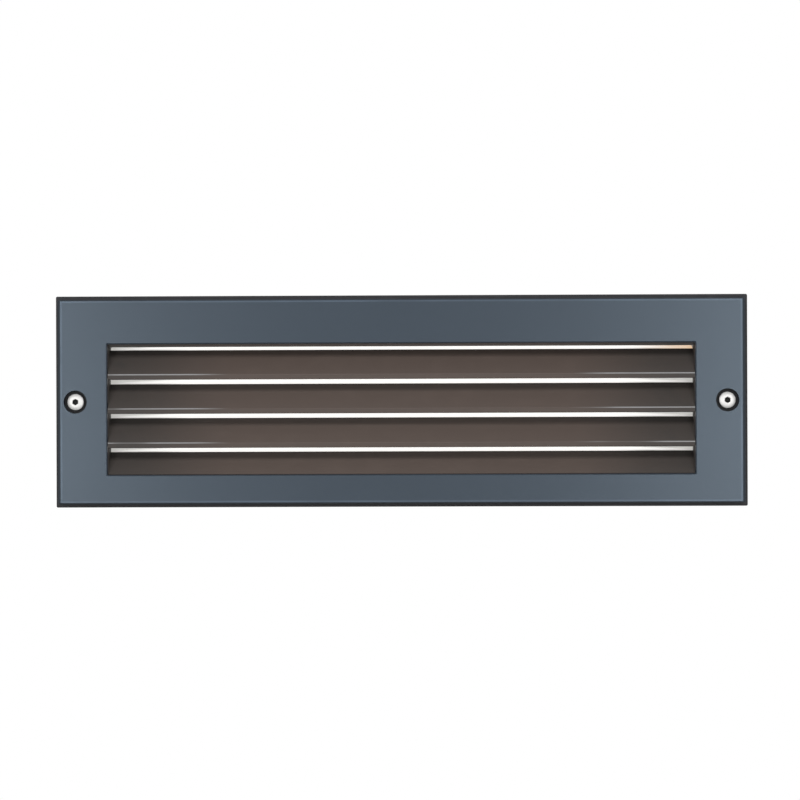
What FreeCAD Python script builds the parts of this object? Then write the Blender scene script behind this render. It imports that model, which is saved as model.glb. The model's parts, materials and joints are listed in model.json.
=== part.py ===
import FreeCAD, Part
import math
import os

# Recessed louvred step light for a brick or masonry wall, about 273 x 83.5 mm on the wall.
# A die-cast cover, with a louvre casting and a frosted pane behind it, closes a die-cast box that is
# built into the wall. Two captive socket screws hold the cover; undone, the cover pulls straight off.
#
# Frame: X along the plate, Y into the wall, Z up. The origin is the centre of the plate, on the
# surface of the wall, so the plate stands in front of Y = 0 and the box lies behind it.
# All sizes are in millimetres. "Left" is the -X end, as seen from in front.

# ---------------------------------------------------------------- faceplate
plate_width = 270.2
plate_height = 80.7
plate_stand_off = 8.5         # wall to the plate's front face
plate_skin = 3.0              # thickness of the plate's front
plate_rim = 1.8               # thickness of the plate's side walls, at the wall
plate_corner = 0.6            # radius of the plate's corners, seen from in front
plate_edge_round = 0.5        # rounding of the front face's outer edge
plate_draft = 1.5             # degrees, side walls wider at the wall

side_margin = 19.6            # plate beside the louvred window
top_margin = 17.65            # plate above it
bottom_margin = 11.55         # plate below it
opening_corner = 0.4
opening_bevel = 0.4

collar_side_margin = 3.0      # the collar behind the window stands this far outside it
collar_top_margin = 3.0
collar_wall = 1.6
collar_past_clamp = 1.0       # the collar reaches this far behind the lens clamp

# ---------------------------------------------------------------- louvre casting
blade_count = 4
blade_gap = 1.35              # clear slit between two blades, before their edges are rounded
first_gap = 0.9               # slit above the top blade
rail_show = 1.05              # top rail seen below the window's upper edge
last_blade_show = 9.25        # height of the bottom blade seen in the window
blade_lip = 2.0               # height of the lip at the front of a blade
blade_lip_lean = 0.5          # the lip's lower edge stands back by this much
blade_thickness = 2.2
blade_recess = 0.5            # blade fronts behind the plate's front face
blade_round = 0.4
blade_crest_round = 0.25      # rounding of a blade's upper edge
louvre_body_depth = 7.5       # louvre frame, behind the plate's skin
louvre_clearance = 0.2        # louvre casting in the window and in the collar

# ---------------------------------------------------------------- lens and its clamp
lens_thickness = 3.0
lens_corner = 2.0
gasket_lip = 0.9              # silicone in front of and behind the pane
gasket_web = 1.2              # silicone round the pane's edge
gasket_overlap = 2.0          # silicone over the pane's face
gasket_clearance = 0.1        # gasket in the collar
clamp_sheet = 1.2
clamp_clearance = 0.3
clamp_border = 4.5
clamp_screw_count = 3
clamp_screw_pitch = 96.0
clamp_screw_grip = 6.0        # clamp screws in their bosses
clamp_boss_radius = 2.8
clamp_boss_overlap = 0.6      # the boss runs into the collar by this much
clamp_ear_width = 8.0
clamp_tongue_width = 12.0
clamp_tongue_past_wall = 0.2

# ---------------------------------------------------------------- gaskets against wall and box
wall_gasket = 1.5
gasket_overhang = 1.4         # black border that the wall gasket shows round the plate
gasket_round = 0.5
gasket_corner = 0.6
flange_thickness = 3.0
flange_clearance = 0.3        # box flange inside the plate's rim
flange_corner = 1.5
seal_clearance = 0.3          # flange seal outside the box mouth and inside the rim
seal_inset = 0.6              # the seal's ends inside the box's outer walls, clear of the screw bosses

# ---------------------------------------------------------------- cover screws
screw_inset = 7.1             # screw centre to the end of the plate
screw_radius = 1.75           # shank
screw_length = 16.0           # under the head
screw_head_radius = 3.2
screw_head_height = 1.85
screw_head_edge = 1.1         # straight edge below the crown of the head
screw_socket = 2.0            # across the flats
screw_socket_depth = 1.1
head_below_face = 0.35
head_recess_radius = 4.55
seal_washer = 0.8
seal_washer_clearance = 0.1
screw_clearance = 0.25        # shank in the plate
thread_clearance = 0.1        # shank in the brass insert and in the retainer
cover_boss_radius = 4.9
cover_boss_gap = 0.3          # cover boss to the box flange
insert_radius = 2.7
insert_length = 5.4
insert_depth = 7.4            # box flange's front to the insert
retainer_radius = 2.9
retainer_thickness = 1.0
retainer_gap = 0.2            # retainer to the insert
retainer_pocket_clearance = 0.5
box_boss_radius = 4.4
box_boss_floor = 2.0          # metal beyond the insert
boss_web = 6.0                # height of the web from boss to box wall

# ---------------------------------------------------------------- back box
box_depth = 78.0              # wall surface to the outside of the box's back
box_wall = 2.5
box_back = 3.0
box_clearance_side = 0.8      # collar inside the box mouth
box_clearance_below = 0.6
box_corner = 5.0
box_draft = 1.0               # degrees
box_back_round = 2.0
rib_count = 4
rib_pitch = 60.0
rib_width = 3.0
rib_height = 1.2
fixing_inset = 13.35          # wall fixing holes below and above the plate's edges
fixing_radius = 2.2
fixing_sink_radius = 3.8
fixing_sink_depth = 1.6
hub_radius = 14.0             # boss round a conduit entry
hub_height = 7.0
entry_radius = 10.4           # half-inch conduit thread, outside its crests
back_hub_offset = 80.0
end_hub_depth = 46.0          # centre of the end entries behind the wall
plug_clearance = 0.1
plug_sink = 1.0               # plug below the hub's face
plug_length = 8.0
plug_socket = 8.0             # across the flats
plug_socket_depth = 4.5

# ---------------------------------------------------------------- gear tray and light source
tray_sheet = 1.5
tray_front = 40.0             # tray's front face behind the wall
tray_side_gap = 3.0           # tray to the box's inside
tray_flange = 6.0
tray_flange_inset = 14.0      # folded edge stops short of the tray's end
standoff_flats = 7.0          # across the flats of the hexagon posts
standoff_thread = 2.0         # radius of the stud that goes into the box's back
standoff_thread_length = 1.8
standoff_inset_side = 6.0     # post centre inside the tray's end
standoff_inset_top = 5.0
standoff_clearance = 0.2      # stud's tip in its hole
pilot_radius = 1.25           # M3 thread, minor radius
pilot_depth = 10.0
tray_screw_length = 8.0
pan_head_radius = 2.75
pan_head_height = 1.8
pan_shank_radius = 1.2
pan_crown = 0.35              # chamfered part of a pan head, as a share of its height
pan_recess_depth = 0.5        # cross recess, as a share of the head's height
pan_recess_reach = 0.55       # its arms, as a share of the head's radius
pan_recess_width = 0.18       # half an arm's width, as a share of the head's radius
hole_radius = 1.6

board_thickness = 1.6
board_side_gap = 10.0         # board inside the reflector's floor window
board_top_gap = 2.0
board_corner = 1.0
thermal_pad_thickness = 0.5
chip_count = 13
chip_end = 14.0               # first chip to the board's end
chip_size = 3.0
chip_height = 0.7
board_screw_inset = 4.0
connector_size = (8.0, 4.5, 7.0)
connector_inset = 1.0
connector_bore = 0.75
connector_bore_length = 4.8

reflector_sheet = 0.8
reflector_gap = 1.5           # reflector's mouth behind the collar
reflector_mouth_inset = 1.4   # mouth inside the collar's outline
reflector_mouth_lip = 1.0
reflector_side_flare = 8.0    # floor narrower than the mouth, on each side
reflector_top_flare = 12.15
reflector_side_land = 9.0     # floor left round its window
reflector_top_land = 4.0

grommet_radius = 3.5
grommet_bore = 2.4
grommet_flange = 1.0
grommet_lip = 0.8

# ---------------------------------------------------------------- driver, terminals and leads
driver_lead_reach = 14.0      # driver to the grommet
driver_length = 105.0
driver_height = 34.0
driver_depth = 21.0
driver_tab = 7.0
driver_tab_thickness = 2.5
driver_round = 1.5
block_width = 20.0
block_to_earth = 25.0         # terminal block to the earth screw
block_depth = 14.5
pole_count = 3
pole_pitch = 10.0
pole_screw_radius = 2.0
pole_well_radius = 2.6
pole_bore = 1.5
pole_bore_depth = 6.5         # centre of the wire holes behind the tray
pole_groove = 1.2             # width of the groove between two poles
pole_groove_depth = 2.4
grub_slot = 0.8               # width and depth of a terminal screw's slot
supply_lead_radius = 0.9
led_lead_radius = 0.6
led_lead_spacing = 2.2
lead_depth = 9.0              # supply leads behind the tray, at the driver
lead_spacing = 12.0           # supply leads apart, at the driver
lead_stub_share = 0.3         # straight stretch at each end, as a share of the lead's reach
lead_insertion = 3.0          # lead inside a terminal
lead_bend_share = 0.45        # arc of a lead: this share of the shorter run

earth_inset = 10.5            # earth screw to the tray's end
earth_head_radius = 3.5
earth_head_height = 2.2
earth_shank_radius = 1.9
lug_radius = 4.0
lug_sheet = 0.8
lug_barrel_radius = 1.5
lug_barrel_length = 6.0

# ---------------------------------------------------------------- places that follow from the sizes
front_y = -plate_stand_off
skin_back_y = front_y + plate_skin
rim_back_y = -wall_gasket
flange_front_y = -flange_thickness
opening_width = plate_width - 2 * side_margin
opening_height = plate_height - top_margin - bottom_margin
opening_top = plate_height / 2 - top_margin
opening_bottom = opening_top - opening_height
opening_z = (opening_top + opening_bottom) / 2
opening_drop = -opening_z
pocket_width = plate_width - 2 * plate_rim
pocket_height = plate_height - 2 * plate_rim
screw_x = plate_width / 2 - screw_inset
fixing_rise = plate_height / 2 - fixing_inset

collar_width = opening_width + 2 * collar_side_margin
collar_height = opening_height + 2 * collar_top_margin
collar_outer_width = collar_width + 2 * collar_wall
collar_outer_height = collar_height + 2 * collar_wall
louvre_back_y = skin_back_y + louvre_body_depth
lens_front_y = louvre_back_y + gasket_lip
lens_back_y = lens_front_y + lens_thickness
clamp_front_y = lens_back_y + gasket_lip
clamp_back_y = clamp_front_y + clamp_sheet
collar_back_y = clamp_back_y + collar_past_clamp
clamp_boss_z = opening_z + collar_outer_height / 2 + clamp_boss_radius - clamp_boss_overlap

mouth_width = collar_outer_width + 2 * box_clearance_side
mouth_height = collar_outer_height + 2 * (opening_drop + box_clearance_below)
box_width = mouth_width + 2 * box_wall
box_height = mouth_height + 2 * box_wall
flange_width = pocket_width - 2 * flange_clearance
flange_height = pocket_height - 2 * flange_clearance
floor_y = box_depth - box_back          # inside of the box's back
insert_front_y = flange_front_y + insert_depth
cover_boss_back_y = flange_front_y - cover_boss_gap
head_top_y = front_y + head_below_face
head_seat_y = head_top_y + screw_head_height
recess_floor_y = head_seat_y + seal_washer
retainer_back_y = insert_front_y - retainer_gap

tray_back_y = tray_front + tray_sheet
draft_slope = math.tan(math.radians(box_draft))
tray_width = mouth_width - 2 * draft_slope * tray_front - 2 * tray_side_gap
tray_height = mouth_height - 2 * draft_slope * tray_front - 2 * tray_side_gap
post_x = tray_width / 2 - standoff_inset_side
post_z = tray_height / 2 - standoff_inset_top
reflector_mouth_width = collar_outer_width - 2 * reflector_mouth_inset
reflector_mouth_height = collar_outer_height - 2 * reflector_mouth_inset
reflector_floor_width = reflector_mouth_width - 2 * reflector_side_flare
reflector_floor_height = reflector_mouth_height - 2 * reflector_top_flare
reflector_window_width = reflector_floor_width - 2 * reflector_side_land
reflector_window_height = reflector_floor_height - 2 * reflector_top_land
board_length = reflector_window_width - 2 * board_side_gap
board_height = reflector_window_height - 2 * board_top_gap
chip_pitch = (board_length - 2 * chip_end) / (chip_count - 1)
board_screw_rise = board_height / 2 - board_screw_inset
board_front_y = tray_front - thermal_pad_thickness - board_thickness
grommet_offset = (reflector_window_width + board_length) / 4
earth_x = tray_width / 2 - earth_inset
block_left = earth_x - block_to_earth - block_width
driver_left = driver_lead_reach - grommet_offset
block_back_y = tray_back_y + block_depth
pole_y = tray_back_y + pole_bore_depth
hub_back_y = box_depth + hub_height
end_hub_face = box_width / 2 + hub_height
driver_right = driver_left + driver_length
driver_lead_y = tray_back_y + lead_depth


# ---------------------------------------------------------------- shapes used by many pieces
def vec(x, y, z):
    return FreeCAD.Vector(x, y, z)


def mirrored_pair(offset):
    return (-offset, offset)


def centred(count, pitch):
    """Positions of count things at that pitch, centred on zero."""
    return [(i - (count - 1) / 2) * pitch for i in range(count)]


def rounded_wire(width, height, radius, y, centre_z=0.0):
    """Rectangle with rounded corners, upright in the plane at y."""
    a, b = width / 2, height / 2
    r = min(radius, 0.49 * width, 0.49 * height)
    d = r * (1 - math.sqrt(0.5))
    corners = ((a, b), (-a, b), (-a, -b), (a, -b))
    edges = []
    for i, (cx, cz) in enumerate(corners):
        sx, sz = math.copysign(1, cx), math.copysign(1, cz)
        along_z = vec(cx, y, centre_z + cz - sz * r)
        along_x = vec(cx - sx * r, y, centre_z + cz)
        middle = vec(cx - sx * d, y, centre_z + cz - sz * d)
        first, last = (along_z, along_x) if i % 2 == 0 else (along_x, along_z)
        edges.append(Part.Arc(first, middle, last).toShape())
    sides = []
    for i, arc in enumerate(edges):
        following = edges[(i + 1) % 4]
        sides.append(arc)
        sides.append(Part.LineSegment(arc.Vertexes[-1].Point, following.Vertexes[0].Point).toShape())
    return Part.Wire(Part.__sortEdges__(sides))


def slab(width, height, radius, y_front, y_back, centre_z=0.0):
    """Flat piece parallel to the wall, with rounded corners."""
    face = Part.Face(rounded_wire(width, height, radius, y_front, centre_z))
    return face.extrude(vec(0, y_back - y_front, 0))


def frame_ring(outer, inner, radius, y_front, y_back, centre_z=0.0):
    """Slab of the outer (width, height) with a window of the inner one."""
    window = slab(inner[0], inner[1], radius, y_front, y_back, centre_z)
    return slab(outer[0], outer[1], radius, y_front, y_back, centre_z).cut(window)


def tapered(front, back, radius, y_front, y_back, centre_z=0.0):
    """Solid between a rounded (width, height) in front and another behind."""
    wires = [
        rounded_wire(front[0], front[1], radius, y_front, centre_z),
        rounded_wire(back[0], back[1], radius, y_back, centre_z),
    ]
    return Part.makeLoft(wires, True, True)


def block(x_span, y_span, z_span):
    """Rectangular block from its lowest and highest x, y and z."""
    size = [high - low for low, high in (x_span, y_span, z_span)]
    return Part.makeBox(*size, vec(x_span[0], y_span[0], z_span[0]))


def rod(radius, y_front, y_back, x, z):
    """Cylinder square to the wall."""
    return Part.makeCylinder(radius, y_back - y_front, vec(x, y_front, z), vec(0, 1, 0))


def cross_rod(radius, x_start, x_end, y, z):
    """Cylinder along the plate."""
    return Part.makeCylinder(radius, x_end - x_start, vec(x_start, y, z), vec(1, 0, 0))


def hexagon(flats, y_front, y_back, x, z):
    """Six-sided bar square to the wall; also the shape of a key's socket."""
    corner = flats / math.sqrt(3)
    angles = [math.radians(60 * i + 30) for i in range(7)]
    points = [vec(x + corner * math.cos(a), y_front, z + corner * math.sin(a)) for a in angles]
    return Part.Face(Part.makePolygon(points)).extrude(vec(0, y_back - y_front, 0))


def rounded_profile(corners, x):
    """Closed outline in the plane at x, from (y, z, corner radius) triples."""
    points = [vec(x, y, z) for y, z, _ in corners]
    starts, ends, arcs = [], [], []
    for i, (_, _, radius) in enumerate(corners):
        here = points[i]
        before = (points[i - 1] - here).normalize()
        after = (points[(i + 1) % len(points)] - here).normalize()
        half = before.getAngle(after) / 2
        reach = radius / math.tan(half)
        start, end = here + before * reach, here + after * reach
        starts.append(start)
        ends.append(end)
        if radius > 0:
            inward = (before + after).normalize()
            middle = here + inward * (radius / math.sin(half) - radius)
            arcs.append(Part.Arc(start, middle, end).toShape())
    sides = [
        Part.LineSegment(ends[i], starts[(i + 1) % len(points)]).toShape() for i in range(len(points))
    ]
    return Part.Wire(Part.__sortEdges__(arcs + sides))


def long_prism(corners, half_length):
    """That profile, run along the plate from -half_length to half_length."""
    return Part.Face(rounded_profile(corners, -half_length)).extrude(vec(2 * half_length, 0, 0))


def edges_in_plane(shape, y, minimum_length=0.0):
    """Edges that lie wholly in the plane at y."""
    found = []
    for edge in shape.Edges:
        flat = all(abs(v.Point.y - y) < 1e-6 for v in edge.Vertexes)
        if flat and abs(edge.BoundBox.YLength) < 1e-6 and edge.Length > minimum_length:
            found.append(edge)
    return found


def fused(pieces):
    return pieces[0].multiFuse(pieces[1:]).removeSplitter()


def pan_screw(head_radius, head_height, shank_radius, shank_length, seat_y, x, z, towards=1):
    """Pan head with a cross recess, its seat at seat_y and its shank running towards +Y or -Y."""
    head_y = sorted((seat_y - towards * head_height, seat_y))
    shank_y = sorted((seat_y, seat_y + towards * shank_length))
    head = rod(head_radius, head_y[0], head_y[1], x, z)
    top_y = seat_y - towards * head_height
    head = head.makeChamfer(pan_crown * head_height, edges_in_plane(head, top_y))
    recess_y = sorted((top_y, top_y + towards * pan_recess_depth * head_height))
    arm, width = pan_recess_reach * head_radius, pan_recess_width * head_radius
    slots = [
        block((x - arm, x + arm), recess_y, (z - width, z + width)),
        block((x - width, x + width), recess_y, (z - arm, z + arm)),
    ]
    return fused([head, rod(shank_radius, shank_y[0], shank_y[1], x, z)]).cut(fused(slots))


def lead(points, radius):
    """Insulated lead: straight runs joined by tangent arcs, swept with a round section."""
    path = [vec(*p) for p in points]
    edges, bends, start = [], [], path[0]
    for i in range(1, len(path) - 1):
        here = path[i]
        before, after = path[i - 1] - here, path[i + 1] - here
        reach = lead_bend_share * min(before.Length, after.Length)
        before.normalize()
        after.normalize()
        half = before.getAngle(after) / 2
        bend = reach * math.tan(half)
        bends.append(round(bend, 1))
        first, last = here + before * reach, here + after * reach
        inward = (before + after).normalize()
        middle = here + inward * (bend / math.sin(half) - bend)
        edges += [Part.LineSegment(start, first).toShape(), Part.Arc(first, middle, last).toShape()]
        start = last
    edges.append(Part.LineSegment(start, path[-1]).toShape())
    route = Part.Wire(edges)
    section = Part.Wire(Part.Circle(path[0], path[1] - path[0], radius).toShape())
    tube = route.makePipeShell([section], True, False)
    expected = math.pi * radius ** 2 * route.Length
    print(f"lead, radius {radius}: bends {bends}, length {route.Length:.1f}, "
          f"volume {tube.Volume:.1f} of {expected:.1f}")
    return tube


# ---------------------------------------------------------------- cover
def faceplate():
    shrink = 2 * math.tan(math.radians(plate_draft)) * (rim_back_y - front_y)
    face_size = (plate_width - shrink, plate_height - shrink)
    body = tapered(face_size, (plate_width, plate_height), plate_corner, front_y, rim_back_y)
    body = body.makeFillet(plate_edge_round, edges_in_plane(body, front_y))
    body = body.cut(slab(pocket_width, pocket_height, plate_corner, skin_back_y, rim_back_y))

    additions = [collar()]
    for x in mirrored_pair(screw_x):
        additions.append(rod(cover_boss_radius, skin_back_y, cover_boss_back_y, x, 0))
    for x in centred(clamp_screw_count, clamp_screw_pitch):
        additions.append(rod(clamp_boss_radius, skin_back_y, clamp_front_y, x, clamp_boss_z))
    body = fused([body] + additions)

    body = body.cut(fused([window(), window_bevel()]))
    for x in mirrored_pair(screw_x):
        body = body.cut(rod(head_recess_radius, front_y, recess_floor_y, x, 0))
        body = body.cut(rod(screw_radius + screw_clearance, front_y, cover_boss_back_y, x, 0))
    for x in centred(clamp_screw_count, clamp_screw_pitch):
        body = body.cut(rod(pilot_radius, clamp_front_y - pilot_depth, clamp_front_y, x, clamp_boss_z))
    return body


def window():
    return slab(opening_width, opening_height, opening_corner, front_y, skin_back_y, opening_z)


def window_bevel():
    """Small bevel round the window's front edge."""
    wide = (opening_width + 2 * opening_bevel, opening_height + 2 * opening_bevel)
    narrow = (opening_width, opening_height)
    return tapered(wide, narrow, opening_corner, front_y, front_y + opening_bevel, opening_z)


def collar():
    """Wall behind the window: it holds the louvres and the pane, and takes the clamp's tongues."""
    ring = frame_ring(
        (collar_outer_width, collar_outer_height),
        (collar_width, collar_height),
        lens_corner,
        skin_back_y,
        collar_back_y,
        opening_z,
    )
    top, bottom = opening_z + collar_outer_height / 2, opening_z - collar_outer_height / 2
    for x in centred(clamp_screw_count, clamp_screw_pitch):
        ear = clamp_ear_width / 2 + clamp_clearance
        tongue = clamp_tongue_width / 2 + clamp_clearance
        ring = ring.cut(block((x - ear, x + ear), (clamp_front_y, collar_back_y), (opening_z, top)))
        slot_y = (clamp_front_y, clamp_back_y)
        ring = ring.cut(block((x - tongue, x + tongue), slot_y, (bottom, opening_z)))
    return ring


def blade_profile(top_z):
    """Section of one blade: a slope that falls towards the front and ends in a leaning lip."""
    blade_front_y = front_y + blade_recess
    pitch = blade_pitch()
    rise = pitch - blade_gap - blade_lip
    slope = rise / (louvre_back_y - blade_front_y)
    upright = blade_thickness * math.sqrt(1 + slope * slope)
    lip_back_y = louvre_back_y - (rise + blade_lip - upright) / slope
    low = top_z - rise - blade_lip
    return [
        (louvre_back_y, top_z, blade_crest_round),
        (blade_front_y, top_z - rise, blade_round),
        (blade_front_y + blade_lip_lean, low, blade_round),
        (lip_back_y, low, 0),
        (louvre_back_y, top_z - upright, 0),
    ]


def blade_pitch():
    shown = opening_height - rail_show - first_gap - last_blade_show
    return shown / (blade_count - 1)


def louvre_grille():
    """Blades cast in one piece with the frame that sits behind the window's edge."""
    outer_width = collar_width - 2 * louvre_clearance
    outer_height = collar_height - 2 * louvre_clearance
    inner_half = opening_width / 2 - louvre_clearance
    rail_bottom = opening_top - rail_show
    sill_top = opening_bottom + louvre_clearance
    frame = slab(outer_width, outer_height, lens_corner, skin_back_y, louvre_back_y, opening_z)
    inside = block((-inner_half, inner_half), (skin_back_y, louvre_back_y), (sill_top, rail_bottom))
    frame = frame.cut(inside)
    blades = []
    for i in range(blade_count):
        top_z = opening_top - rail_show - first_gap - i * blade_pitch()
        blades.append(long_prism(blade_profile(top_z), inner_half))
    below = block(
        (-inner_half, inner_half),
        (front_y, louvre_back_y),
        (opening_bottom - blade_pitch(), sill_top),
    )
    blades[-1] = blades[-1].cut(below)
    return fused([frame] + blades)


def lens():
    width = collar_width - 2 * (gasket_clearance + gasket_web)
    height = collar_height - 2 * (gasket_clearance + gasket_web)
    return slab(width, height, lens_corner, lens_front_y, lens_back_y, opening_z)


def lens_gasket():
    width = collar_width - 2 * gasket_clearance
    height = collar_height - 2 * gasket_clearance
    margin = 2 * (gasket_web + gasket_overlap)
    ring = frame_ring(
        (width, height),
        (width - margin, height - margin),
        lens_corner,
        louvre_back_y,
        clamp_front_y,
        opening_z,
    )
    return ring.cut(lens())


def lens_clamp():
    """Sheet frame: tongues hook into the collar's floor, and ears are screwed to its bosses."""
    width = collar_width - 2 * clamp_clearance
    height = collar_height - 2 * clamp_clearance
    frame = slab(width, height, lens_corner, clamp_front_y, clamp_back_y, opening_z)
    pieces = [frame]
    frame_bottom = opening_z - height / 2
    tongue_end = opening_z - collar_outer_height / 2 - clamp_tongue_past_wall
    sheet_y = (clamp_front_y, clamp_back_y)
    for x in centred(clamp_screw_count, clamp_screw_pitch):
        ear, tongue = clamp_ear_width / 2, clamp_tongue_width / 2
        pieces.append(block((x - ear, x + ear), sheet_y, (opening_z, clamp_boss_z)))
        pieces.append(rod(ear, clamp_front_y, clamp_back_y, x, clamp_boss_z))
        pieces.append(block((x - tongue, x + tongue), sheet_y, (tongue_end, frame_bottom + clamp_border)))
    clamp = fused(pieces)
    window = (width - 2 * clamp_border, height - 2 * clamp_border)
    clamp = clamp.cut(slab(window[0], window[1], lens_corner, clamp_front_y, clamp_back_y, opening_z))
    for x in centred(clamp_screw_count, clamp_screw_pitch):
        clamp = clamp.cut(rod(hole_radius, clamp_front_y, clamp_back_y, x, clamp_boss_z))
    return clamp


def clamp_screws():
    size = (pan_head_radius, pan_head_height, pan_shank_radius, clamp_sheet + clamp_screw_grip)
    return Part.makeCompound([
        pan_screw(*size, clamp_back_y, x, clamp_boss_z, -1)
        for x in centred(clamp_screw_count, clamp_screw_pitch)
    ])


def wall_gasket_ring():
    """Rubber under the plate's rim; its rounded edge shows as a black border."""
    size = (plate_width + 2 * gasket_overhang, plate_height + 2 * gasket_overhang)
    outer = slab(*size, gasket_corner, rim_back_y, 0)
    outer = outer.makeFillet(gasket_round, edges_in_plane(outer, rim_back_y))
    return outer.cut(slab(pocket_width, pocket_height, plate_corner, rim_back_y, 0))


def flange_seal():
    outer = (box_width - 2 * seal_inset, flange_height - 2 * seal_clearance)
    inner = (mouth_width + 2 * seal_clearance, mouth_height + 2 * seal_clearance)
    return frame_ring(outer, inner, flange_corner, skin_back_y, flange_front_y)


def screw_seals():
    washers = []
    for x in mirrored_pair(screw_x):
        disc = rod(head_recess_radius - seal_washer_clearance, head_seat_y, recess_floor_y, x, 0)
        washers.append(disc.cut(rod(screw_radius + thread_clearance, head_seat_y, recess_floor_y, x, 0)))
    return Part.makeCompound(washers)


# ---------------------------------------------------------------- captive cover screws
def cover_screw(x):
    """Button head with a hexagon socket."""
    dome = screw_head_height - screw_head_edge
    crown_radius = (screw_head_radius ** 2 + dome ** 2) / (2 * dome)
    crown = Part.makeSphere(crown_radius, vec(x, head_top_y + crown_radius, 0))
    head = rod(screw_head_radius, head_top_y, head_seat_y, x, 0).common(crown)
    shank = rod(screw_radius, head_seat_y, head_seat_y + screw_length, x, 0)
    tip = head_seat_y + screw_length
    shank = shank.makeChamfer(0.3 * screw_radius, edges_in_plane(shank, tip))
    socket = hexagon(screw_socket, head_top_y, head_top_y + screw_socket_depth, x, 0)
    return fused([head, shank]).cut(socket)


def screw_retainer(x):
    """Nylon washer on the screw's neck, which keeps the screw in the cover."""
    front = retainer_back_y - retainer_thickness
    disc = rod(retainer_radius, front, retainer_back_y, x, 0)
    return disc.cut(rod(screw_radius + thread_clearance, front, retainer_back_y, x, 0))


# ---------------------------------------------------------------- back box
def box_at(y, width, height):
    """Outline of the drafted box at a depth."""
    shrink = 2 * draft_slope * y
    return (width - shrink, height - shrink)


def back_box():
    shell = tapered(
        (box_width, box_height), box_at(box_depth, box_width, box_height), box_corner, 0, box_depth
    )
    shell = shell.makeFillet(box_back_round, edges_in_plane(shell, box_depth))
    additions = [slab(flange_width, flange_height, flange_corner, flange_front_y, 0)]
    for x in mirrored_pair(screw_x):
        boss_end = insert_front_y + insert_length + box_boss_floor
        additions.append(rod(box_boss_radius, 0, boss_end, x, 0))
        web_x = sorted((math.copysign(mouth_width / 2, x), x))
        additions.append(block(web_x, (0, boss_end), (-boss_web / 2, boss_web / 2)))
    for x in centred(rib_count, rib_pitch):
        rib_top = box_height / 2 + rib_height
        rib_x = (x - rib_width / 2, x + rib_width / 2)
        additions.append(block(rib_x, (0, box_depth - 4 * box_back_round), (-rib_top, rib_top)))
    for x in mirrored_pair(back_hub_offset):
        additions.append(rod(hub_radius, floor_y, hub_back_y, x, 0))
    additions.append(cross_rod(hub_radius, -end_hub_face, end_hub_face, end_hub_depth, 0))
    shell = fused([shell] + additions)

    mouth = (mouth_width, mouth_height)
    in_front, at_floor = box_at(flange_front_y, *mouth), box_at(floor_y, *mouth)
    cavity = tapered(in_front, at_floor, box_corner - box_wall, flange_front_y, floor_y)
    shell = shell.cut(cavity)

    return shell.cut(fused(box_holes()))


def box_holes():
    holes = []
    for x in mirrored_pair(screw_x):
        pocket = retainer_radius + retainer_pocket_clearance
        insert_end = insert_front_y + insert_length
        holes.append(rod(pocket, flange_front_y, insert_front_y, x, 0))
        holes.append(rod(insert_radius, insert_front_y, insert_end, x, 0))
        for z in mirrored_pair(fixing_rise):
            sink_end = flange_front_y + fixing_sink_depth
            sink = (fixing_sink_radius, fixing_radius, fixing_sink_depth)
            holes.append(Part.makeCone(*sink, vec(x, flange_front_y, z), vec(0, 1, 0)))
            holes.append(rod(fixing_radius, sink_end, 0, x, z))
    for x in mirrored_pair(back_hub_offset):
        holes.append(rod(entry_radius, floor_y, hub_back_y, x, 0))
    holes.append(cross_rod(entry_radius, -end_hub_face, end_hub_face, end_hub_depth, 0))
    for x in mirrored_pair(post_x):
        for z in mirrored_pair(post_z):
            depth = standoff_thread_length + standoff_clearance
            holes.append(rod(standoff_thread + thread_clearance, floor_y, floor_y + depth, x, z))
    return holes


def screw_inserts():
    """Brass bushes that take the cover screws."""
    bushes = []
    for x in mirrored_pair(screw_x):
        insert_end = insert_front_y + insert_length
        bush = rod(insert_radius, insert_front_y, insert_end, x, 0)
        bushes.append(bush.cut(rod(screw_radius + thread_clearance, insert_front_y, insert_end, x, 0)))
    return Part.makeCompound(bushes)


def entry_plug_at_back(x):
    outer = hub_back_y - plug_sink
    plug = rod(entry_radius - plug_clearance, outer - plug_length, outer, x, 0)
    return plug.cut(hexagon(plug_socket, outer - plug_socket_depth, outer, x, 0))


def entry_plug_at_end(side):
    """The plug from the back, turned to face along the plate; side is -1 or 1."""
    plug = entry_plug_at_back(0)
    plug.translate(vec(0, end_hub_face - hub_back_y, 0))
    plug.rotate(vec(0, 0, 0), vec(0, 0, 1), -90 * side)
    plug.translate(vec(0, end_hub_depth, 0))
    return plug


# ---------------------------------------------------------------- gear tray, light source
def tray_holes():
    """(x, z, radius) of every hole in the tray."""
    holes = [(x, z, hole_radius) for x in mirrored_pair(post_x) for z in mirrored_pair(post_z)]
    holes += [(x, z, pan_shank_radius) for x, z in board_screw_places() + reflector_screw_places()]
    holes += [(x, 0, pan_shank_radius) for x in driver_screw_places()]
    holes.append((earth_x, 0, earth_shank_radius))
    holes.append((-grommet_offset, opening_z, grommet_radius - grommet_lip))
    return holes


def gear_tray():
    """Folded sheet across the box, with its top and bottom edges turned back."""
    top = tray_height / 2
    flange_y = tray_front + tray_flange
    channel = long_prism(
        [
            (flange_y, -top, 0),
            (tray_front, -top, tray_sheet),
            (tray_front, top, tray_sheet),
            (flange_y, top, 0),
            (flange_y, top - tray_sheet, 0),
            (tray_back_y, top - tray_sheet, 0),
            (tray_back_y, tray_sheet - top, 0),
            (flange_y, tray_sheet - top, 0),
        ],
        tray_width / 2,
    )
    for side in (-1, 1):
        inner = side * (tray_width / 2 - tray_flange_inset)
        outer = side * tray_width / 2
        channel = channel.cut(block(sorted((inner, outer)), (tray_back_y, flange_y), (-top, top)))
    return channel.cut(fused([rod(r, tray_front, tray_back_y, x, z) for x, z, r in tray_holes()]))


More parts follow.
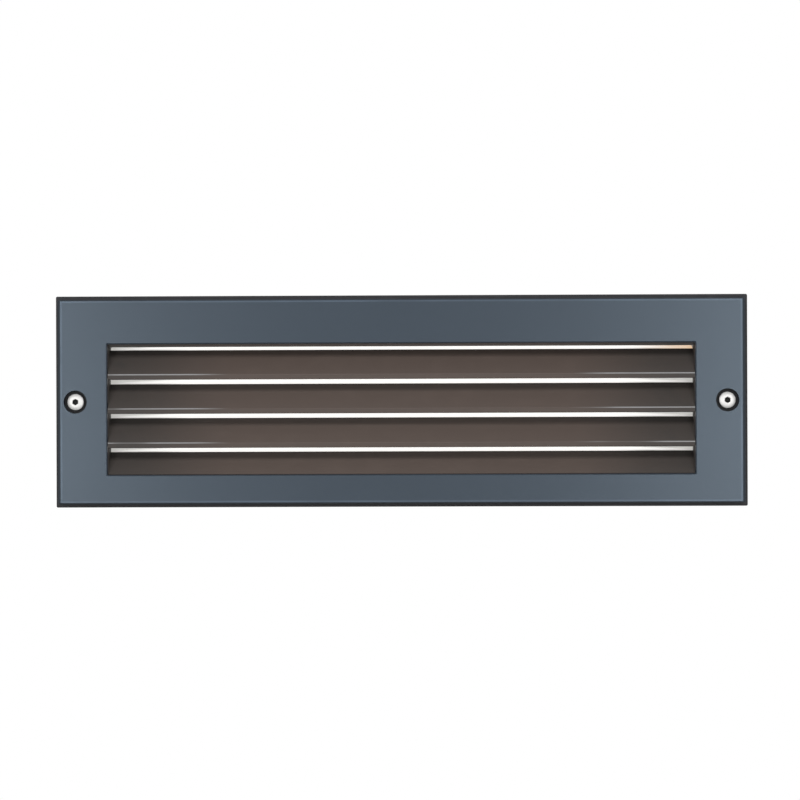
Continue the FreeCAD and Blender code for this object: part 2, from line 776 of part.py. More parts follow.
def tray_standoffs():
    """Hexagon posts between the box's back and the tray, each with a stud at its foot."""
    posts = []
    for x in mirrored_pair(post_x):
        for z in mirrored_pair(post_z):
            stud = rod(standoff_thread, floor_y, floor_y + standoff_thread_length, x, z)
            post = hexagon(standoff_flats, tray_back_y, floor_y, x, z)
            pilot = rod(pilot_radius, tray_back_y, tray_back_y + pilot_depth, x, z)
            posts.append(fused([post, stud]).cut(pilot))
    return Part.makeCompound(posts)


def tray_screws():
    return Part.makeCompound([
        pan_screw(pan_head_radius, pan_head_height, pan_shank_radius, tray_screw_length, tray_front, x, z)
        for x in mirrored_pair(post_x)
        for z in mirrored_pair(post_z)
    ])


def board_screw_places():
    inner = chip_pitch * ((chip_count - 1) / 2 - 0.5)
    return [(x, opening_z + board_screw_rise) for x in mirrored_pair(inner)]


def reflector_screw_places():
    x = (reflector_floor_width + reflector_window_width) / 4
    rise = reflector_window_height / 3
    return [(sx, opening_z + dz) for sx in mirrored_pair(x) for dz in mirrored_pair(rise)]


def thermal_pad():
    pad_front = tray_front - thermal_pad_thickness
    pad = slab(board_length, board_height, board_corner, pad_front, tray_front, opening_z)
    return pad.cut(fused([rod(hole_radius, pad_front, tray_front, x, z) for x, z in board_screw_places()]))


def led_board():
    back = tray_front - thermal_pad_thickness
    board = slab(board_length, board_height, board_corner, board_front_y, back, opening_z)
    return board.cut(fused([rod(hole_radius, board_front_y, back, x, z) for x, z in board_screw_places()]))


def led_chips():
    half = chip_size / 2
    chip_y = (board_front_y - chip_height, board_front_y)
    chip_z = (opening_z - half, opening_z + half)
    return Part.makeCompound([
        block((x - half, x + half), chip_y, chip_z) for x in centred(chip_count, chip_pitch)
    ])


def board_screws():
    shank = board_thickness + thermal_pad_thickness + tray_sheet
    return Part.makeCompound([
        pan_screw(pan_head_radius, pan_head_height, pan_shank_radius, shank, board_front_y, x, z)
        for x, z in board_screw_places()
    ])


def board_connector():
    width, depth, height = connector_size
    left = connector_inset - board_length / 2
    bore_end = left + connector_bore_length
    span_z = (opening_z - height / 2, opening_z + height / 2)
    body = block((left, left + width), (board_front_y - depth, board_front_y), span_z)
    bores = [
        cross_rod(connector_bore, left, bore_end, board_front_y - depth / 2, opening_z + dz)
        for dz in mirrored_pair(led_lead_spacing / 2)
    ]
    return body.cut(fused(bores))


def reflector():
    """White sheet trough: it flares from the board to just behind the collar."""
    mouth_y = collar_back_y + reflector_gap
    floor_front = tray_front - reflector_sheet
    mouth = (reflector_mouth_width, reflector_mouth_height)
    floor = (reflector_floor_width, reflector_floor_height)
    inner_mouth = [size - 2 * reflector_sheet for size in mouth]
    inner_floor = [size - 2 * reflector_sheet for size in floor]
    outside = tapered(mouth, floor, lens_corner, mouth_y, tray_front, opening_z)
    inside = tapered(inner_mouth, inner_floor, lens_corner, mouth_y, floor_front, opening_z)
    lip = 2 * reflector_mouth_lip
    rim_y = (mouth_y, mouth_y + reflector_sheet)
    rim = slab(mouth[0] + lip, mouth[1] + lip, lens_corner, *rim_y, opening_z)
    trough = fused([outside, rim]).cut(inside)
    light_window = (reflector_window_width, reflector_window_height)
    trough = trough.cut(slab(*light_window, lens_corner, floor_front, tray_front, opening_z))
    holes = [rod(hole_radius, floor_front, tray_front, x, z) for x, z in reflector_screw_places()]
    return trough.cut(fused(holes))


def reflector_screws():
    seat = tray_front - reflector_sheet
    shank = reflector_sheet + tray_sheet
    return Part.makeCompound([
        pan_screw(pan_head_radius, pan_head_height, pan_shank_radius, shank, seat, x, z)
        for x, z in reflector_screw_places()
    ])


def lead_grommet():
    """Rubber ring in the tray's hole, with a lip on each side of the sheet."""
    x, z = -grommet_offset, opening_z
    outer = rod(grommet_radius, tray_front - grommet_flange, tray_back_y + grommet_flange, x, z)
    groove = rod(grommet_radius, tray_front, tray_back_y, x, z)
    groove = groove.cut(rod(grommet_radius - grommet_lip, tray_front, tray_back_y, x, z))
    bore = rod(grommet_bore, tray_front - grommet_flange, tray_back_y + grommet_flange, x, z)
    return outer.cut(groove).cut(bore)


# ---------------------------------------------------------------- driver, terminals, leads
def driver_screw_places():
    return (driver_left - driver_tab / 2, driver_right + driver_tab / 2)


def driver():
    half = driver_height / 2
    case = block((driver_left, driver_right), (tray_back_y, tray_back_y + driver_depth), (-half, half))
    case = case.makeFillet(driver_round, edges_in_plane(case, tray_back_y + driver_depth))
    tab_y = (tray_back_y, tray_back_y + driver_tab_thickness)
    feet = block((driver_left - driver_tab, driver_right + driver_tab), tab_y, (-half, half))
    case = fused([case, feet])
    holes = [rod(hole_radius, tab_y[0], tab_y[1], x, 0) for x in driver_screw_places()]
    return case.cut(fused(holes))


def driver_screws():
    shank = driver_tab_thickness + tray_sheet
    seat = tray_back_y + driver_tab_thickness
    return Part.makeCompound([
        pan_screw(pan_head_radius, pan_head_height, pan_shank_radius, shank, seat, x, 0, -1)
        for x in driver_screw_places()
    ])


def terminal_block():
    """Three poles: a wire hole along the plate and a screw well from behind for each."""
    half = pole_count * pole_pitch / 2
    right = block_left + block_width
    body = block((block_left, right), (tray_back_y, block_back_y), (-half, half))
    well_front = pole_y + pole_bore
    middle = block_left + block_width / 2
    cuts = []
    for z in centred(pole_count, pole_pitch):
        cuts.append(cross_rod(pole_bore, block_left, right, pole_y, z))
        cuts.append(rod(pole_well_radius, well_front, block_back_y, middle, z))
        cuts.append(rod(pole_screw_radius, pole_y, well_front, middle, z))
    for z in centred(pole_count - 1, pole_pitch):
        groove_y = (block_back_y - pole_groove_depth, block_back_y)
        cuts.append(block((block_left, right), groove_y, (z - pole_groove / 2, z + pole_groove / 2)))
    return body.cut(fused(cuts))


def terminal_screws():
    """Slotted grub screws that press on the wires."""
    middle = block_left + block_width / 2
    tip = pole_y + supply_lead_radius + thread_clearance
    end = block_back_y - pole_groove_depth
    screws = []
    for z in centred(pole_count, pole_pitch):
        radius = pole_screw_radius - thread_clearance
        head = pole_well_radius - thread_clearance
        neck = rod(radius, tip, pole_y + pole_bore + thread_clearance, middle, z)
        body = fused([neck, rod(head, pole_y + pole_bore + thread_clearance, end, middle, z)])
        slot_z = (z - grub_slot / 2, z + grub_slot / 2)
        slot = block((middle - head, middle + head), (end - grub_slot, end), slot_z)
        screws.append(body.cut(slot))
    return Part.makeCompound(screws)


def supply_lead(side):
    """From the driver's right end to an outer pole; side is 1 for the upper pole, -1 for the lower."""
    start_z, end_z = side * lead_spacing / 2, side * pole_pitch
    end_x = block_left + lead_insertion
    stub = lead_stub_share * (end_x - driver_right)
    return lead(
        [
            (driver_right, driver_lead_y, start_z),
            (driver_right + stub, driver_lead_y, start_z),
            (end_x - stub, pole_y, end_z),
            (end_x, pole_y, end_z),
        ],
        supply_lead_radius,
    )


def earth_lead():
    """From the middle pole to the lug on the tray."""
    start = block_left + block_width - lead_insertion
    end = lug_mouth_x()
    stub = lead_stub_share * (end - start)
    return lead(
        [
            (start, pole_y, 0),
            (start + stub, pole_y, 0),
            (end - stub, lug_axis_y(), 0),
            (end, lug_axis_y(), 0),
        ],
        supply_lead_radius,
    )


def led_lead(side):
    """From the driver's left end, through the grommet, to the board's connector."""
    z = opening_z + side * led_lead_spacing / 2
    front = board_front_y - connector_size[1] / 2
    left = connector_inset - board_length / 2
    return lead(
        [
            (driver_left, driver_lead_y, z),
            (-grommet_offset, driver_lead_y, z),
            (-grommet_offset, front, z),
            (left + lead_insertion, front, z),
        ],
        led_lead_radius,
    )


def lug_axis_y():
    """The barrel lies on the tray."""
    return tray_back_y + lug_barrel_radius


def lug_mouth_x():
    return earth_x - lug_radius - lug_barrel_length


def earth_screw():
    seat = tray_back_y + lug_sheet
    shank = (earth_shank_radius - thread_clearance, lug_sheet + tray_sheet)
    return pan_screw(earth_head_radius, earth_head_height, *shank, seat, earth_x, 0, -1)


def earth_lug():
    """Ring tongue under the earth screw, crimped round the lead."""
    back = tray_back_y + lug_sheet
    ring = rod(lug_radius, tray_back_y, back, earth_x, 0)
    mouth = lug_mouth_x()
    barrel_end = mouth + lug_barrel_length
    width = (-lug_barrel_radius, lug_barrel_radius)
    tongue = block((barrel_end - lug_sheet, earth_x), (tray_back_y, back), width)
    barrel = cross_rod(lug_barrel_radius, mouth, barrel_end, lug_axis_y(), 0)
    bore = rod(earth_shank_radius, tray_back_y, back, earth_x, 0)
    return fused([ring, tongue, barrel]).cut(bore)


# ---------------------------------------------------------------- every piece, by the name of its node
pieces = {
    "faceplate": faceplate(),
    "louvre_grille": louvre_grille(),
    "lens": lens(),
    "lens_gasket": lens_gasket(),
    "lens_clamp": lens_clamp(),
    "clamp_screws": clamp_screws(),
    "wall_gasket": wall_gasket_ring(),
    "flange_seal": flange_seal(),
    "screw_seals": screw_seals(),
    "left_cover_screw": cover_screw(-screw_x),
    "right_cover_screw": cover_screw(screw_x),
    "left_screw_retainer": screw_retainer(-screw_x),
    "right_screw_retainer": screw_retainer(screw_x),
    "back_box": back_box(),
    "screw_inserts": screw_inserts(),
    "back_entry_plug": entry_plug_at_back(-back_hub_offset),
    "left_entry_plug": entry_plug_at_end(-1),
    "right_entry_plug": entry_plug_at_end(1),
    "tray_standoffs": tray_standoffs(),
    "gear_tray": gear_tray(),
    "tray_screws": tray_screws(),
    "thermal_pad": thermal_pad(),
    "led_board": led_board(),
    "led_chips": led_chips(),
    "board_screws": board_screws(),
    "board_connector": board_connector(),
    "reflector": reflector(),
    "reflector_screws": reflector_screws(),
    "lead_grommet": lead_grommet(),
    "driver": driver(),
    "driver_screws": driver_screws(),
    "terminal_block": terminal_block(),
    "terminal_screws": terminal_screws(),
    "live_lead": supply_lead(1),
    "neutral_lead": supply_lead(-1),
    "earth_lead": earth_lead(),
    "led_positive_lead": led_lead(1),
    "led_negative_lead": led_lead(-1),
    "earth_screw": earth_screw(),
    "earth_lug": earth_lug(),
}

os.makedirs("parts", exist_ok=True)
for name, shape in pieces.items():
    shape.exportStep(os.path.join("parts", name + ".step"))
    print(f"{name:22s} solids {len(shape.Solids):2d} valid {shape.isValid()} volume {shape.Volume:10.1f}")
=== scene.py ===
"""Step light: a louvred cover over a lit frosted pane, on a cast box that is built into a wall.

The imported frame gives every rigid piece. This file adds the finishes, the pieces with fine detail
(cover screws, light source, entry thread), the camera, the lamps and the floor.
Everything is in metres: X along the cover, Y into the wall, Z up, y = 0 on the wall's surface.
"""

import json
import math

import bmesh
import bpy
import numpy as np
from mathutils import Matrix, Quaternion, Vector


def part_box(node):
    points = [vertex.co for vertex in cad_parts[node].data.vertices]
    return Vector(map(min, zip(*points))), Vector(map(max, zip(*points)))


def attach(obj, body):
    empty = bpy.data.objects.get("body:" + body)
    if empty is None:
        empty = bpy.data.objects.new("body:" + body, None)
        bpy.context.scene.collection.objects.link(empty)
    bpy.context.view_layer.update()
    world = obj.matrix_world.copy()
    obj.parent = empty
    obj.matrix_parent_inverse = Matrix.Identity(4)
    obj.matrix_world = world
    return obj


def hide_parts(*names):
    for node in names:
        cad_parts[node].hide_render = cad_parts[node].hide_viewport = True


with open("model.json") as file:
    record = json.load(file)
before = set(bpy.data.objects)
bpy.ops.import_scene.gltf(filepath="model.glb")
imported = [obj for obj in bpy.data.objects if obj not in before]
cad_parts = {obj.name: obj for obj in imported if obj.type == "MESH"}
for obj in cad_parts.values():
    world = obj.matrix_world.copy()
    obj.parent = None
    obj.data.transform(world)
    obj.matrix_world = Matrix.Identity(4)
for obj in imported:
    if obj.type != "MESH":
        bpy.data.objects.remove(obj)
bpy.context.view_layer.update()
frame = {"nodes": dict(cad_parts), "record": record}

bl_info = {
    "name": "Step Light",
    "version": (1, 0, 0),
    "blender": (4, 5, 0),
    "location": "3D View > Sidebar > Step Light",
    "description": "Finishes, fine pieces and stage for a recessed louvred step light",
    "category": "Object",
}

MM = 0.001
MICRON = 0.001 * MM
TURN = 2 * math.pi
SMOOTH_ANGLE = math.radians(32)

# Colours that lie on the finishes or show through them.
WHITE = (1.0, 1.0, 1.0)
BLACK = (0.0, 0.0, 0.0)
# Black of the plate's rounded edge: painted shade.
EDGE_SHADE_BLACK = (0.004, 0.004, 0.005)
# Dark, less warm tone at the blades' ends: painted shade.
LOUVRE_END_SHADE = (0.011, 0.015, 0.016)
# Light line on the lips' upper edges: painted highlight.
LIP_HIGHLIGHT = (0.17, 0.17, 0.172)
FROSTED_WHITE = (0.5, 0.5, 0.49)
FADED_LIGHT = (0.26, 0.255, 0.24)
CLOUDED_LIGHT = (0.75, 0.72, 0.66)
# Nearly black down in the screws' sockets: painted shade.
SOCKET_SHADE = (0.008, 0.008, 0.008)
# Dark colour down in the thread's roots.
ROOT_DARK = (0.05, 0.05, 0.045)

# Louvres: how far a blade's crest lies below the top of its opening. Then, up from the crest, the lit
# slit and the upper front edge of the next blade's lip.
CREST_DROP = 1.15 * MM
SLIT_HEIGHT = 1.35 * MM
LIP_EDGE = 3.35 * MM

# Plate, inwards from its edge: black, a painted shade of its rounded edge, and then a painted highlight,
# a light line, each from where it starts to change to where the change ends. At the plate's two ends the
# painted shade reaches further in.
END_EDGE_SHADE = 0.55 * MM
EDGE_SHADE_FADE = (0.50 * MM, 0.72 * MM)
EDGE_HIGHLIGHT_START = (0.70 * MM, 0.90 * MM)
EDGE_HIGHLIGHT_END = (1.1 * MM, 1.6 * MM)

# Along the cover from its middle: painted shade and painted highlights on the blades, and the amber corner of
# the pane.
END_SHADE_REACH = (62 * MM, 112 * MM)
LIP_HIGHLIGHT_REACH = (66 * MM, 84 * MM)
LIP_HIGHLIGHT_WIDTH = (0.15 * MM, 0.32 * MM)
AMBER_REACH = (88 * MM, 119 * MM)
AMBER_HEIGHT = (15 * MM, 20 * MM)
LIGHT_FADE = 17 * MM
BLADE_SHADE = 20 * MM

# Light board, up and down from its middle: copper tracks, and the pads round the chips.
TRACK_INNER = (5.4 * MM, 5.5 * MM)
TRACK_OUTER = (6.4 * MM, 6.5 * MM)
PAD_EDGE = (2.4 * MM, 2.5 * MM)
POOL_RADIUS = 1.15 * MM

# Stretch of a grain along X, Y and Z: the same all ways, and drawn out along X.
EVEN = (1.0, 1.0, 1.0)
ROLLED = (0.03, 1.0, 1.0)


# ---------------------------------------------------------------- places read from the frame
def centre_of(node):
    low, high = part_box(node)
    return (low + high) / 2


def size_of(node):
    low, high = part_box(node)
    return high - low


COVER_CENTRE = centre_of("faceplate")
COVER_SIZE = size_of("faceplate")
PANE_CENTRE = centre_of("lens")
SLOT_TOPS = sorted(
    opening["box_m"][1][2] for opening in frame["record"]["physics"]["openings"]
    if opening["name"].startswith("louvre_slot"))
HEAD_RADIUS = size_of("left_cover_screw").x / 2
SCREW_REACH = centre_of("right_cover_screw").x
CHIPS_LOW, CHIPS_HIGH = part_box("led_chips")
CHIP_WIDTH = CHIPS_HIGH.z - CHIPS_LOW.z


# ---------------------------------------------------------------- settings
class CoverSettings(bpy.types.PropertyGroup):
    """Colours and grain of the painted cover."""

    slate: bpy.props.FloatVectorProperty(
        name="Plate paint", description="Satin slate paint of the cover plate",
        subtype="COLOR", size=3, min=0, max=1, default=(0.0165, 0.0215, 0.029))
    sheen: bpy.props.FloatVectorProperty(
        name="Plate gloss", description="Tint of the plate paint's gloss",
        subtype="COLOR", size=3, min=0, max=1, default=(0.70, 0.855, 1.0))
    bronze: bpy.props.FloatVectorProperty(
        name="Louvre paint", description="Dark bronze-grey paint of the louvres",
        subtype="COLOR", size=3, min=0, max=1, default=(0.056, 0.043, 0.037))
    paint_roughness: bpy.props.FloatProperty(
        name="Paint roughness", description="Roughness of the satin paint", min=0, max=1, default=0.30)
    paint_grain: bpy.props.FloatProperty(
        name="Paint grain", description="Width of one dimple of the powder coat",
        unit="LENGTH", default=0.9 * MM)


class LampSettings(bpy.types.PropertyGroup):
    """The lit pane and the light source behind it."""

    light: bpy.props.FloatVectorProperty(
        name="Light colour", description="Colour of the lit pane",
        subtype="COLOR", size=3, min=0, max=1, default=(1.0, 0.985, 0.95))
    amber: bpy.props.FloatVectorProperty(
        name="Edge colour", description="Warm light at the pane's right end, above",
        subtype="COLOR", size=3, min=0, max=1, default=(0.76, 0.49, 0.27))
    strength: bpy.props.FloatProperty(
        name="Strength", description="Strength of the pane's light", min=0, default=0.81)
    even_half_width: bpy.props.FloatProperty(
        name="Even half width", description="Half of the width that is evenly lit",
        unit="LENGTH", default=103 * MM)
    chip_count: bpy.props.IntProperty(
        name="Chips", description="Number of light-emitting chips on the board", min=1, default=13)


class ScrewSettings(bpy.types.PropertyGroup):
    """The two socket screws in the cover."""

    head_height: bpy.props.FloatProperty(
        name="Head height", description="Height of the domed head", unit="LENGTH", default=1.85 * MM)
    rim_height: bpy.props.FloatProperty(
        name="Rim height", description="Straight part of the head's edge", unit="LENGTH", default=1.45 * MM)
    socket_width: bpy.props.FloatProperty(
        name="Socket", description="Hexagon socket across its flats", unit="LENGTH", default=2.0 * MM)
    socket_depth: bpy.props.FloatProperty(
        name="Socket depth", description="Depth of the hexagon socket", unit="LENGTH", default=1.1 * MM)
    shank_radius: bpy.props.FloatProperty(
        name="Shank radius", description="Radius of the shank and of the thread's crest",
        unit="LENGTH", default=1.75 * MM)
    thread_pitch: bpy.props.FloatProperty(
        name="Thread pitch", description="Pitch of the screw's thread", unit="LENGTH", default=0.794 * MM)
    thread_depth: bpy.props.FloatProperty(
        name="Thread depth", description="Depth of the screw's thread", unit="LENGTH", default=0.42 * MM)
    thread_length: bpy.props.FloatProperty(
        name="Thread length", description="Threaded end of the shank", unit="LENGTH", default=5.2 * MM)


class EntrySettings(bpy.types.PropertyGroup):
    """The thread of the open conduit entry."""

    thread_pitch: bpy.props.FloatProperty(
        name="Thread pitch", description="Pitch of the conduit thread", unit="LENGTH", default=1.814 * MM)
    thread_depth: bpy.props.FloatProperty(
        name="Thread depth", description="Depth of the conduit thread", unit="LENGTH", default=1.1 * MM)
    thread_length: bpy.props.FloatProperty(
        name="Thread length", description="Threaded part of the entry", unit="LENGTH", default=8.4 * MM)
    lead_in: bpy.props.FloatProperty(
        name="Lead-in", description="Plain part before the thread starts", unit="LENGTH", default=0.8 * MM)


class StageSettings(bpy.types.PropertyGroup):
    """Camera, lamps and floor."""

    distance: bpy.props.FloatProperty(
        name="Camera distance", description="Camera to the wall's surface", unit="LENGTH", default=1.1)
    azimuth: bpy.props.FloatProperty(
        name="Camera azimuth", description="Camera's turn round the upright axis",
        subtype="ANGLE", default=math.radians(1.0))
    roll: bpy.props.FloatProperty(
        name="Camera roll", description="Camera's turn round its own view", subtype="ANGLE",
        default=math.radians(0.2))
    aim: bpy.props.FloatVectorProperty(
        name="Camera aim", description="Point of the wall's surface in the middle of the picture",
        subtype="TRANSLATION", size=3, default=(-0.46 * MM, 0.0, 0.38 * MM))
    span: bpy.props.FloatProperty(
        name="Picture width", description="Width that the picture shows at the wall's surface",
        unit="LENGTH", default=316.25 * MM)
    floor_drop: bpy.props.FloatProperty(
        name="Floor drop", description="Floor below the cover's centre", unit="LENGTH", default=0.30)
    side_power: bpy.props.FloatProperty(
        name="Side lamps", description="Power of each side lamp", unit="POWER", default=3.0)
    top_power: bpy.props.FloatProperty(
        name="Top lamp", description="Power of the lamp above the camera", unit="POWER", default=9.5)
    sky: bpy.props.FloatProperty(
        name="Room light", description="Level of the light from all round", min=0, default=0.2)


class StepLightSettings(bpy.types.PropertyGroup):
    """All settings of the step light."""

    cover: bpy.props.PointerProperty(type=CoverSettings)
    lamp: bpy.props.PointerProperty(type=LampSettings)
    screw: bpy.props.PointerProperty(type=ScrewSettings)
    entry: bpy.props.PointerProperty(type=EntrySettings)
    stage: bpy.props.PointerProperty(type=StageSettings)


# ---------------------------------------------------------------- shader maths
class Value:
    """A socket of a finish. Python's operators on it add Math nodes."""

    def __init__(self, nodes, socket):
        self.nodes = nodes
        self.socket = socket

    def __add__(self, other):
        return self.nodes.maths("ADD", self, other)

    __radd__ = __add__

    def __sub__(self, other):
        return self.nodes.maths("SUBTRACT", self, other)

    def __rsub__(self, other):
        return self.nodes.maths("SUBTRACT", other, self)

    def __mul__(self, other):
        return self.nodes.maths("MULTIPLY", self, other)

    __rmul__ = __mul__

    def __truediv__(self, other):
        return self.nodes.maths("DIVIDE", self, other)

    def __mod__(self, other):
        return self.nodes.maths("FLOORED_MODULO", self, other)

    def __pow__(self, other):
        return self.nodes.maths("POWER", self, other)

    def __abs__(self):
        return self.nodes.maths("ABSOLUTE", self)

    def sine(self):
        return self.nodes.maths("SINE", self)

    def at_least(self, other):
        return self.nodes.maths("MAXIMUM", self, other)

    def at_most(self, other):
        return self.nodes.maths("MINIMUM", self, other)

    def rise(self, start, end):
        """0 up to start, 1 from end on, and a smooth step between them."""
        return self.nodes.node(
            "ShaderNodeMapRange", {"interpolation_type": "SMOOTHSTEP"},
            {"Value": self, "From Min": start, "From Max": end})


class NodeTree:
    """The nodes of one material or of the room, on a tree that starts empty."""

    def __init__(self, owner):
        owner.use_nodes = True
        self.owner = owner
        self.tree = owner.node_tree
        self.tree.nodes.clear()

    def node(self, kind, settings=None, values=None, output=0):
        """Any node: its settings first, then the values or links of its sockets."""
        made = self.tree.nodes.new(kind)
        for name, setting in (settings or {}).items():
            setattr(made, name, setting)
        for name, given in (values or {}).items():
            if isinstance(given, Value):
                self.tree.links.new(given.socket, made.inputs[name])
            else:
                made.inputs[name].default_value = given
        return Value(self, made.outputs[output]) if made.outputs else None

    def maths(self, operation, *terms):
        """A Math node on values and numbers."""
        return self.node("ShaderNodeMath", {"operation": operation}, dict(enumerate(terms)))

    def seen(self):
        """1 for what the camera, gloss and glass see, 0 for light on its way to the object."""
        paths = self.node("ShaderNodeLightPath").socket.node.outputs
        camera, gloss, glass = (
            Value(self, paths[name]) for name in ("Is Camera Ray", "Is Glossy Ray", "Is Transmission Ray"))
        return camera.at_least(gloss).at_least(glass)


class Finish(NodeTree):
    """One material, made of nodes on the object's own coordinates, which are the frame's."""

    def __init__(self, name):
        super().__init__(bpy.data.materials.new(name))
        self.place = self.node("ShaderNodeTexCoord", output="Object")

    def axes(self):
        """x, y and z of the place, in metres."""
        parted = self.node("ShaderNodeSeparateXYZ", values={"Vector": self.place})
        return [Value(self, output) for output in parted.socket.node.outputs]

    def noise(self, width, detail=2.0, stretch=None):
        """Soft noise from 0 to 1, whose patches are about as wide as width."""
        where = self.place
        if stretch:
            where = self.node("ShaderNodeVectorMath", {"operation": "MULTIPLY"}, {0: where, 1: stretch})
        return self.node("ShaderNodeTexNoise", {}, {"Vector": where, "Scale": 1 / width, "Detail": detail})

    def cells(self, width):
        """Distance to the middle of the nearest of many scattered cells, about as wide as width."""
        return self.node("ShaderNodeTexVoronoi", {}, {"Vector": self.place, "Scale": 1 / width}, "Distance")

    def mix(self, factor, first, second):
        """Colour between first, at 0, and second, at 1."""
        return self.node(
            "ShaderNodeMix", {"data_type": "RGBA"},
            {0: factor, 6: rgba(first), 7: rgba(second)}, 2)

    def tones(self, factor, colour, darker, lighter):
        """One colour between a darker tone, at 0, and a lighter one, at 1."""
        return self.mix(factor, shade(colour, darker), shade(colour, lighter))

    def surface(self, base, roughness, height, **constants):
        """Principled shader with the base colour, the roughness and a bump from a height in metres."""
        bump = self.node("ShaderNodeBump", {}, {"Height": height, "Distance": 1.0, "Strength": 1.0})
        values = {"Base Color": rgba(base), "Roughness": roughness, "Normal": bump}
        values.update({name.replace("_", " "): given for name, given in constants.items()})
        shader = self.node("ShaderNodeBsdfPrincipled", {}, values)
        self.node("ShaderNodeOutputMaterial", {}, {"Surface": shader})
        return self.owner


def rgba(colour):
    """A colour for a socket: a link stays, three numbers get a fourth."""
    return colour if isinstance(colour, Value) else (*tuple(colour)[:3], 1.0)


def shade(colour, factor):
    """The colour made darker or lighter by a factor, in Python."""
    return tuple(min(1.0, part * factor) for part in tuple(colour)[:3])


# ---------------------------------------------------------------- finishes
def powder_coat(name, colour, sheen, roughness, grain):
    """Satin powder coat: fine dimples, a slow change of tone and faint rubbed streaks.

    By the distance from the plate's edge, black painted shade shows first and then a painted highlight, a
    light line.
    """
    finish = Finish(name)
    x, _, z = finish.axes()
    from_end = COVER_SIZE.x / 2 - END_EDGE_SHADE - abs(x - COVER_CENTRE.x)
    inside = from_end.at_most(COVER_SIZE.z / 2 - abs(z - COVER_CENTRE.z))
    # Black at the plate's very edge: painted shade of its rounded edge.
    edge_shade = 1 - inside.rise(*EDGE_SHADE_FADE)
    # A light line just inside the black: a painted highlight on the edge's round.
    edge_highlight = inside.rise(*EDGE_HIGHLIGHT_START) - inside.rise(*EDGE_HIGHLIGHT_END)
    tone = finish.noise(30 * grain, detail=3.0)
    dimples = finish.noise(grain)
    fine = finish.noise(0.25 * grain, detail=1.0)
    streak = finish.noise(3.5 * MM, detail=3.0, stretch=(1.0, 1.0, 0.12)).rise(0.70, 0.78)
    rubbed_and_highlight = streak * finish.noise(22 * MM, detail=1.0).rise(0.52, 0.62)
    base = finish.tones(tone, colour, 0.93, 1.07)
    base = finish.mix(rubbed_and_highlight * 0.35, base, shade(colour, 1.5))
    base = finish.mix(edge_highlight * (tone * 0.8), base, shade(colour, 4.0))
    base = finish.mix(edge_shade * 0.9, base, EDGE_SHADE_BLACK)
    rough = fine * 0.06 + (roughness - 0.03) + rubbed_and_highlight * 0.08 + edge_shade * 0.35
    height = dimples * (9 * MICRON) + fine * (2.5 * MICRON)
    return finish.surface(base, rough, height, Specular_Tint=rgba(sheen))


def above_crest(z):
    """Height above the next blade's crest below, over and over by the blades' pitch.

    The topmost opening ends closer to its crest than the others, so the pitch is taken from the rest.
    """
    pitch = (SLOT_TOPS[-2] - SLOT_TOPS[0]) / (len(SLOT_TOPS) - 2)
    return (z - (SLOT_TOPS[0] - CREST_DROP)) % pitch


def bronze_coat(name, colour, grain, roughness=0.5):
    """Dark coat of the louvres: dust on the slopes, and towards the blades' ends painted shade and painted
    highlights on the lips.
    """
    finish = Finish(name)
    x, _, z = finish.axes()
    dimples = finish.noise(0.8 * grain)
    fine = finish.noise(0.2 * grain, detail=1.0)
    dust = finish.noise(8 * MM, detail=4.0).rise(0.45, 0.75)
    # Darker and less warm towards the blades' ends: painted shade, broken a little by the dust.
    painted_shade = abs(x).rise(*END_SHADE_REACH) * (dust * 0.2 + 0.8)
    lip_edge = 1 - abs(above_crest(z) - LIP_EDGE).rise(*LIP_HIGHLIGHT_WIDTH)
    patches = finish.noise(14 * MM, stretch=(0.4, 0.1, 1.0)).rise(0.30, 0.50)
    # A light line along the lips' upper front edges towards the ends: painted highlight.
    rubbed_and_highlight = lip_edge * abs(x).rise(*LIP_HIGHLIGHT_REACH) * patches
    base = finish.mix(dust * 0.25, colour, shade(colour, 1.25))
    base = finish.mix(painted_shade * 0.62, base, LOUVRE_END_SHADE)
    base = finish.mix(rubbed_and_highlight, base, LIP_HIGHLIGHT)
    rough = fine * 0.1 + roughness + dust * 0.05
    height = dimples * (10 * MICRON) + fine * (3 * MICRON)
    return finish.surface(base, rough, height, Specular_IOR_Level=0.3)


def moulded_rubber(name, colour, roughness=0.52):
    """Black rubber: fine moulded grain with a dusty bloom."""
    finish = Finish(name)
    grain = finish.noise(0.35 * MM)
    bloom = finish.noise(7 * MM, detail=3.0).rise(0.5, 0.8)
    base = finish.mix(bloom * 0.3, colour, shade(colour, 2.2))
    return finish.surface(base, grain * 0.12 + roughness, grain * (14 * MICRON), Specular_IOR_Level=0.3)


def lit_pane(name, lamp):
    """Frosted glass that glows: even in the middle, weaker at the ends and amber at one corner.

    Above a slit a blade hides the pane from the chips, so there the light fades nearer to the middle.
    """
    finish = Finish(name)
    x, _, z = finish.axes()
    hidden = (above_crest(z) / SLIT_HEIGHT).at_most(1.0)
    fall = (abs(x) + hidden * BLADE_SHADE).rise(lamp.even_half_width, lamp.even_half_width + LIGHT_FADE)
    amber = x.rise(*AMBER_REACH) * z.rise(*AMBER_HEIGHT)
    cloud = finish.noise(26 * MM)
    glow = finish.mix(fall * 0.80, lamp.light, FADED_LIGHT)
    glow = finish.mix(amber, glow, lamp.amber)
    glow = finish.mix(cloud * 0.08, glow, CLOUDED_LIGHT)
    frost = finish.noise(0.25 * MM) * (8 * MICRON)
    return finish.surface(FROSTED_WHITE, 0.55, frost, Emission_Color=glow, Emission_Strength=lamp.strength)


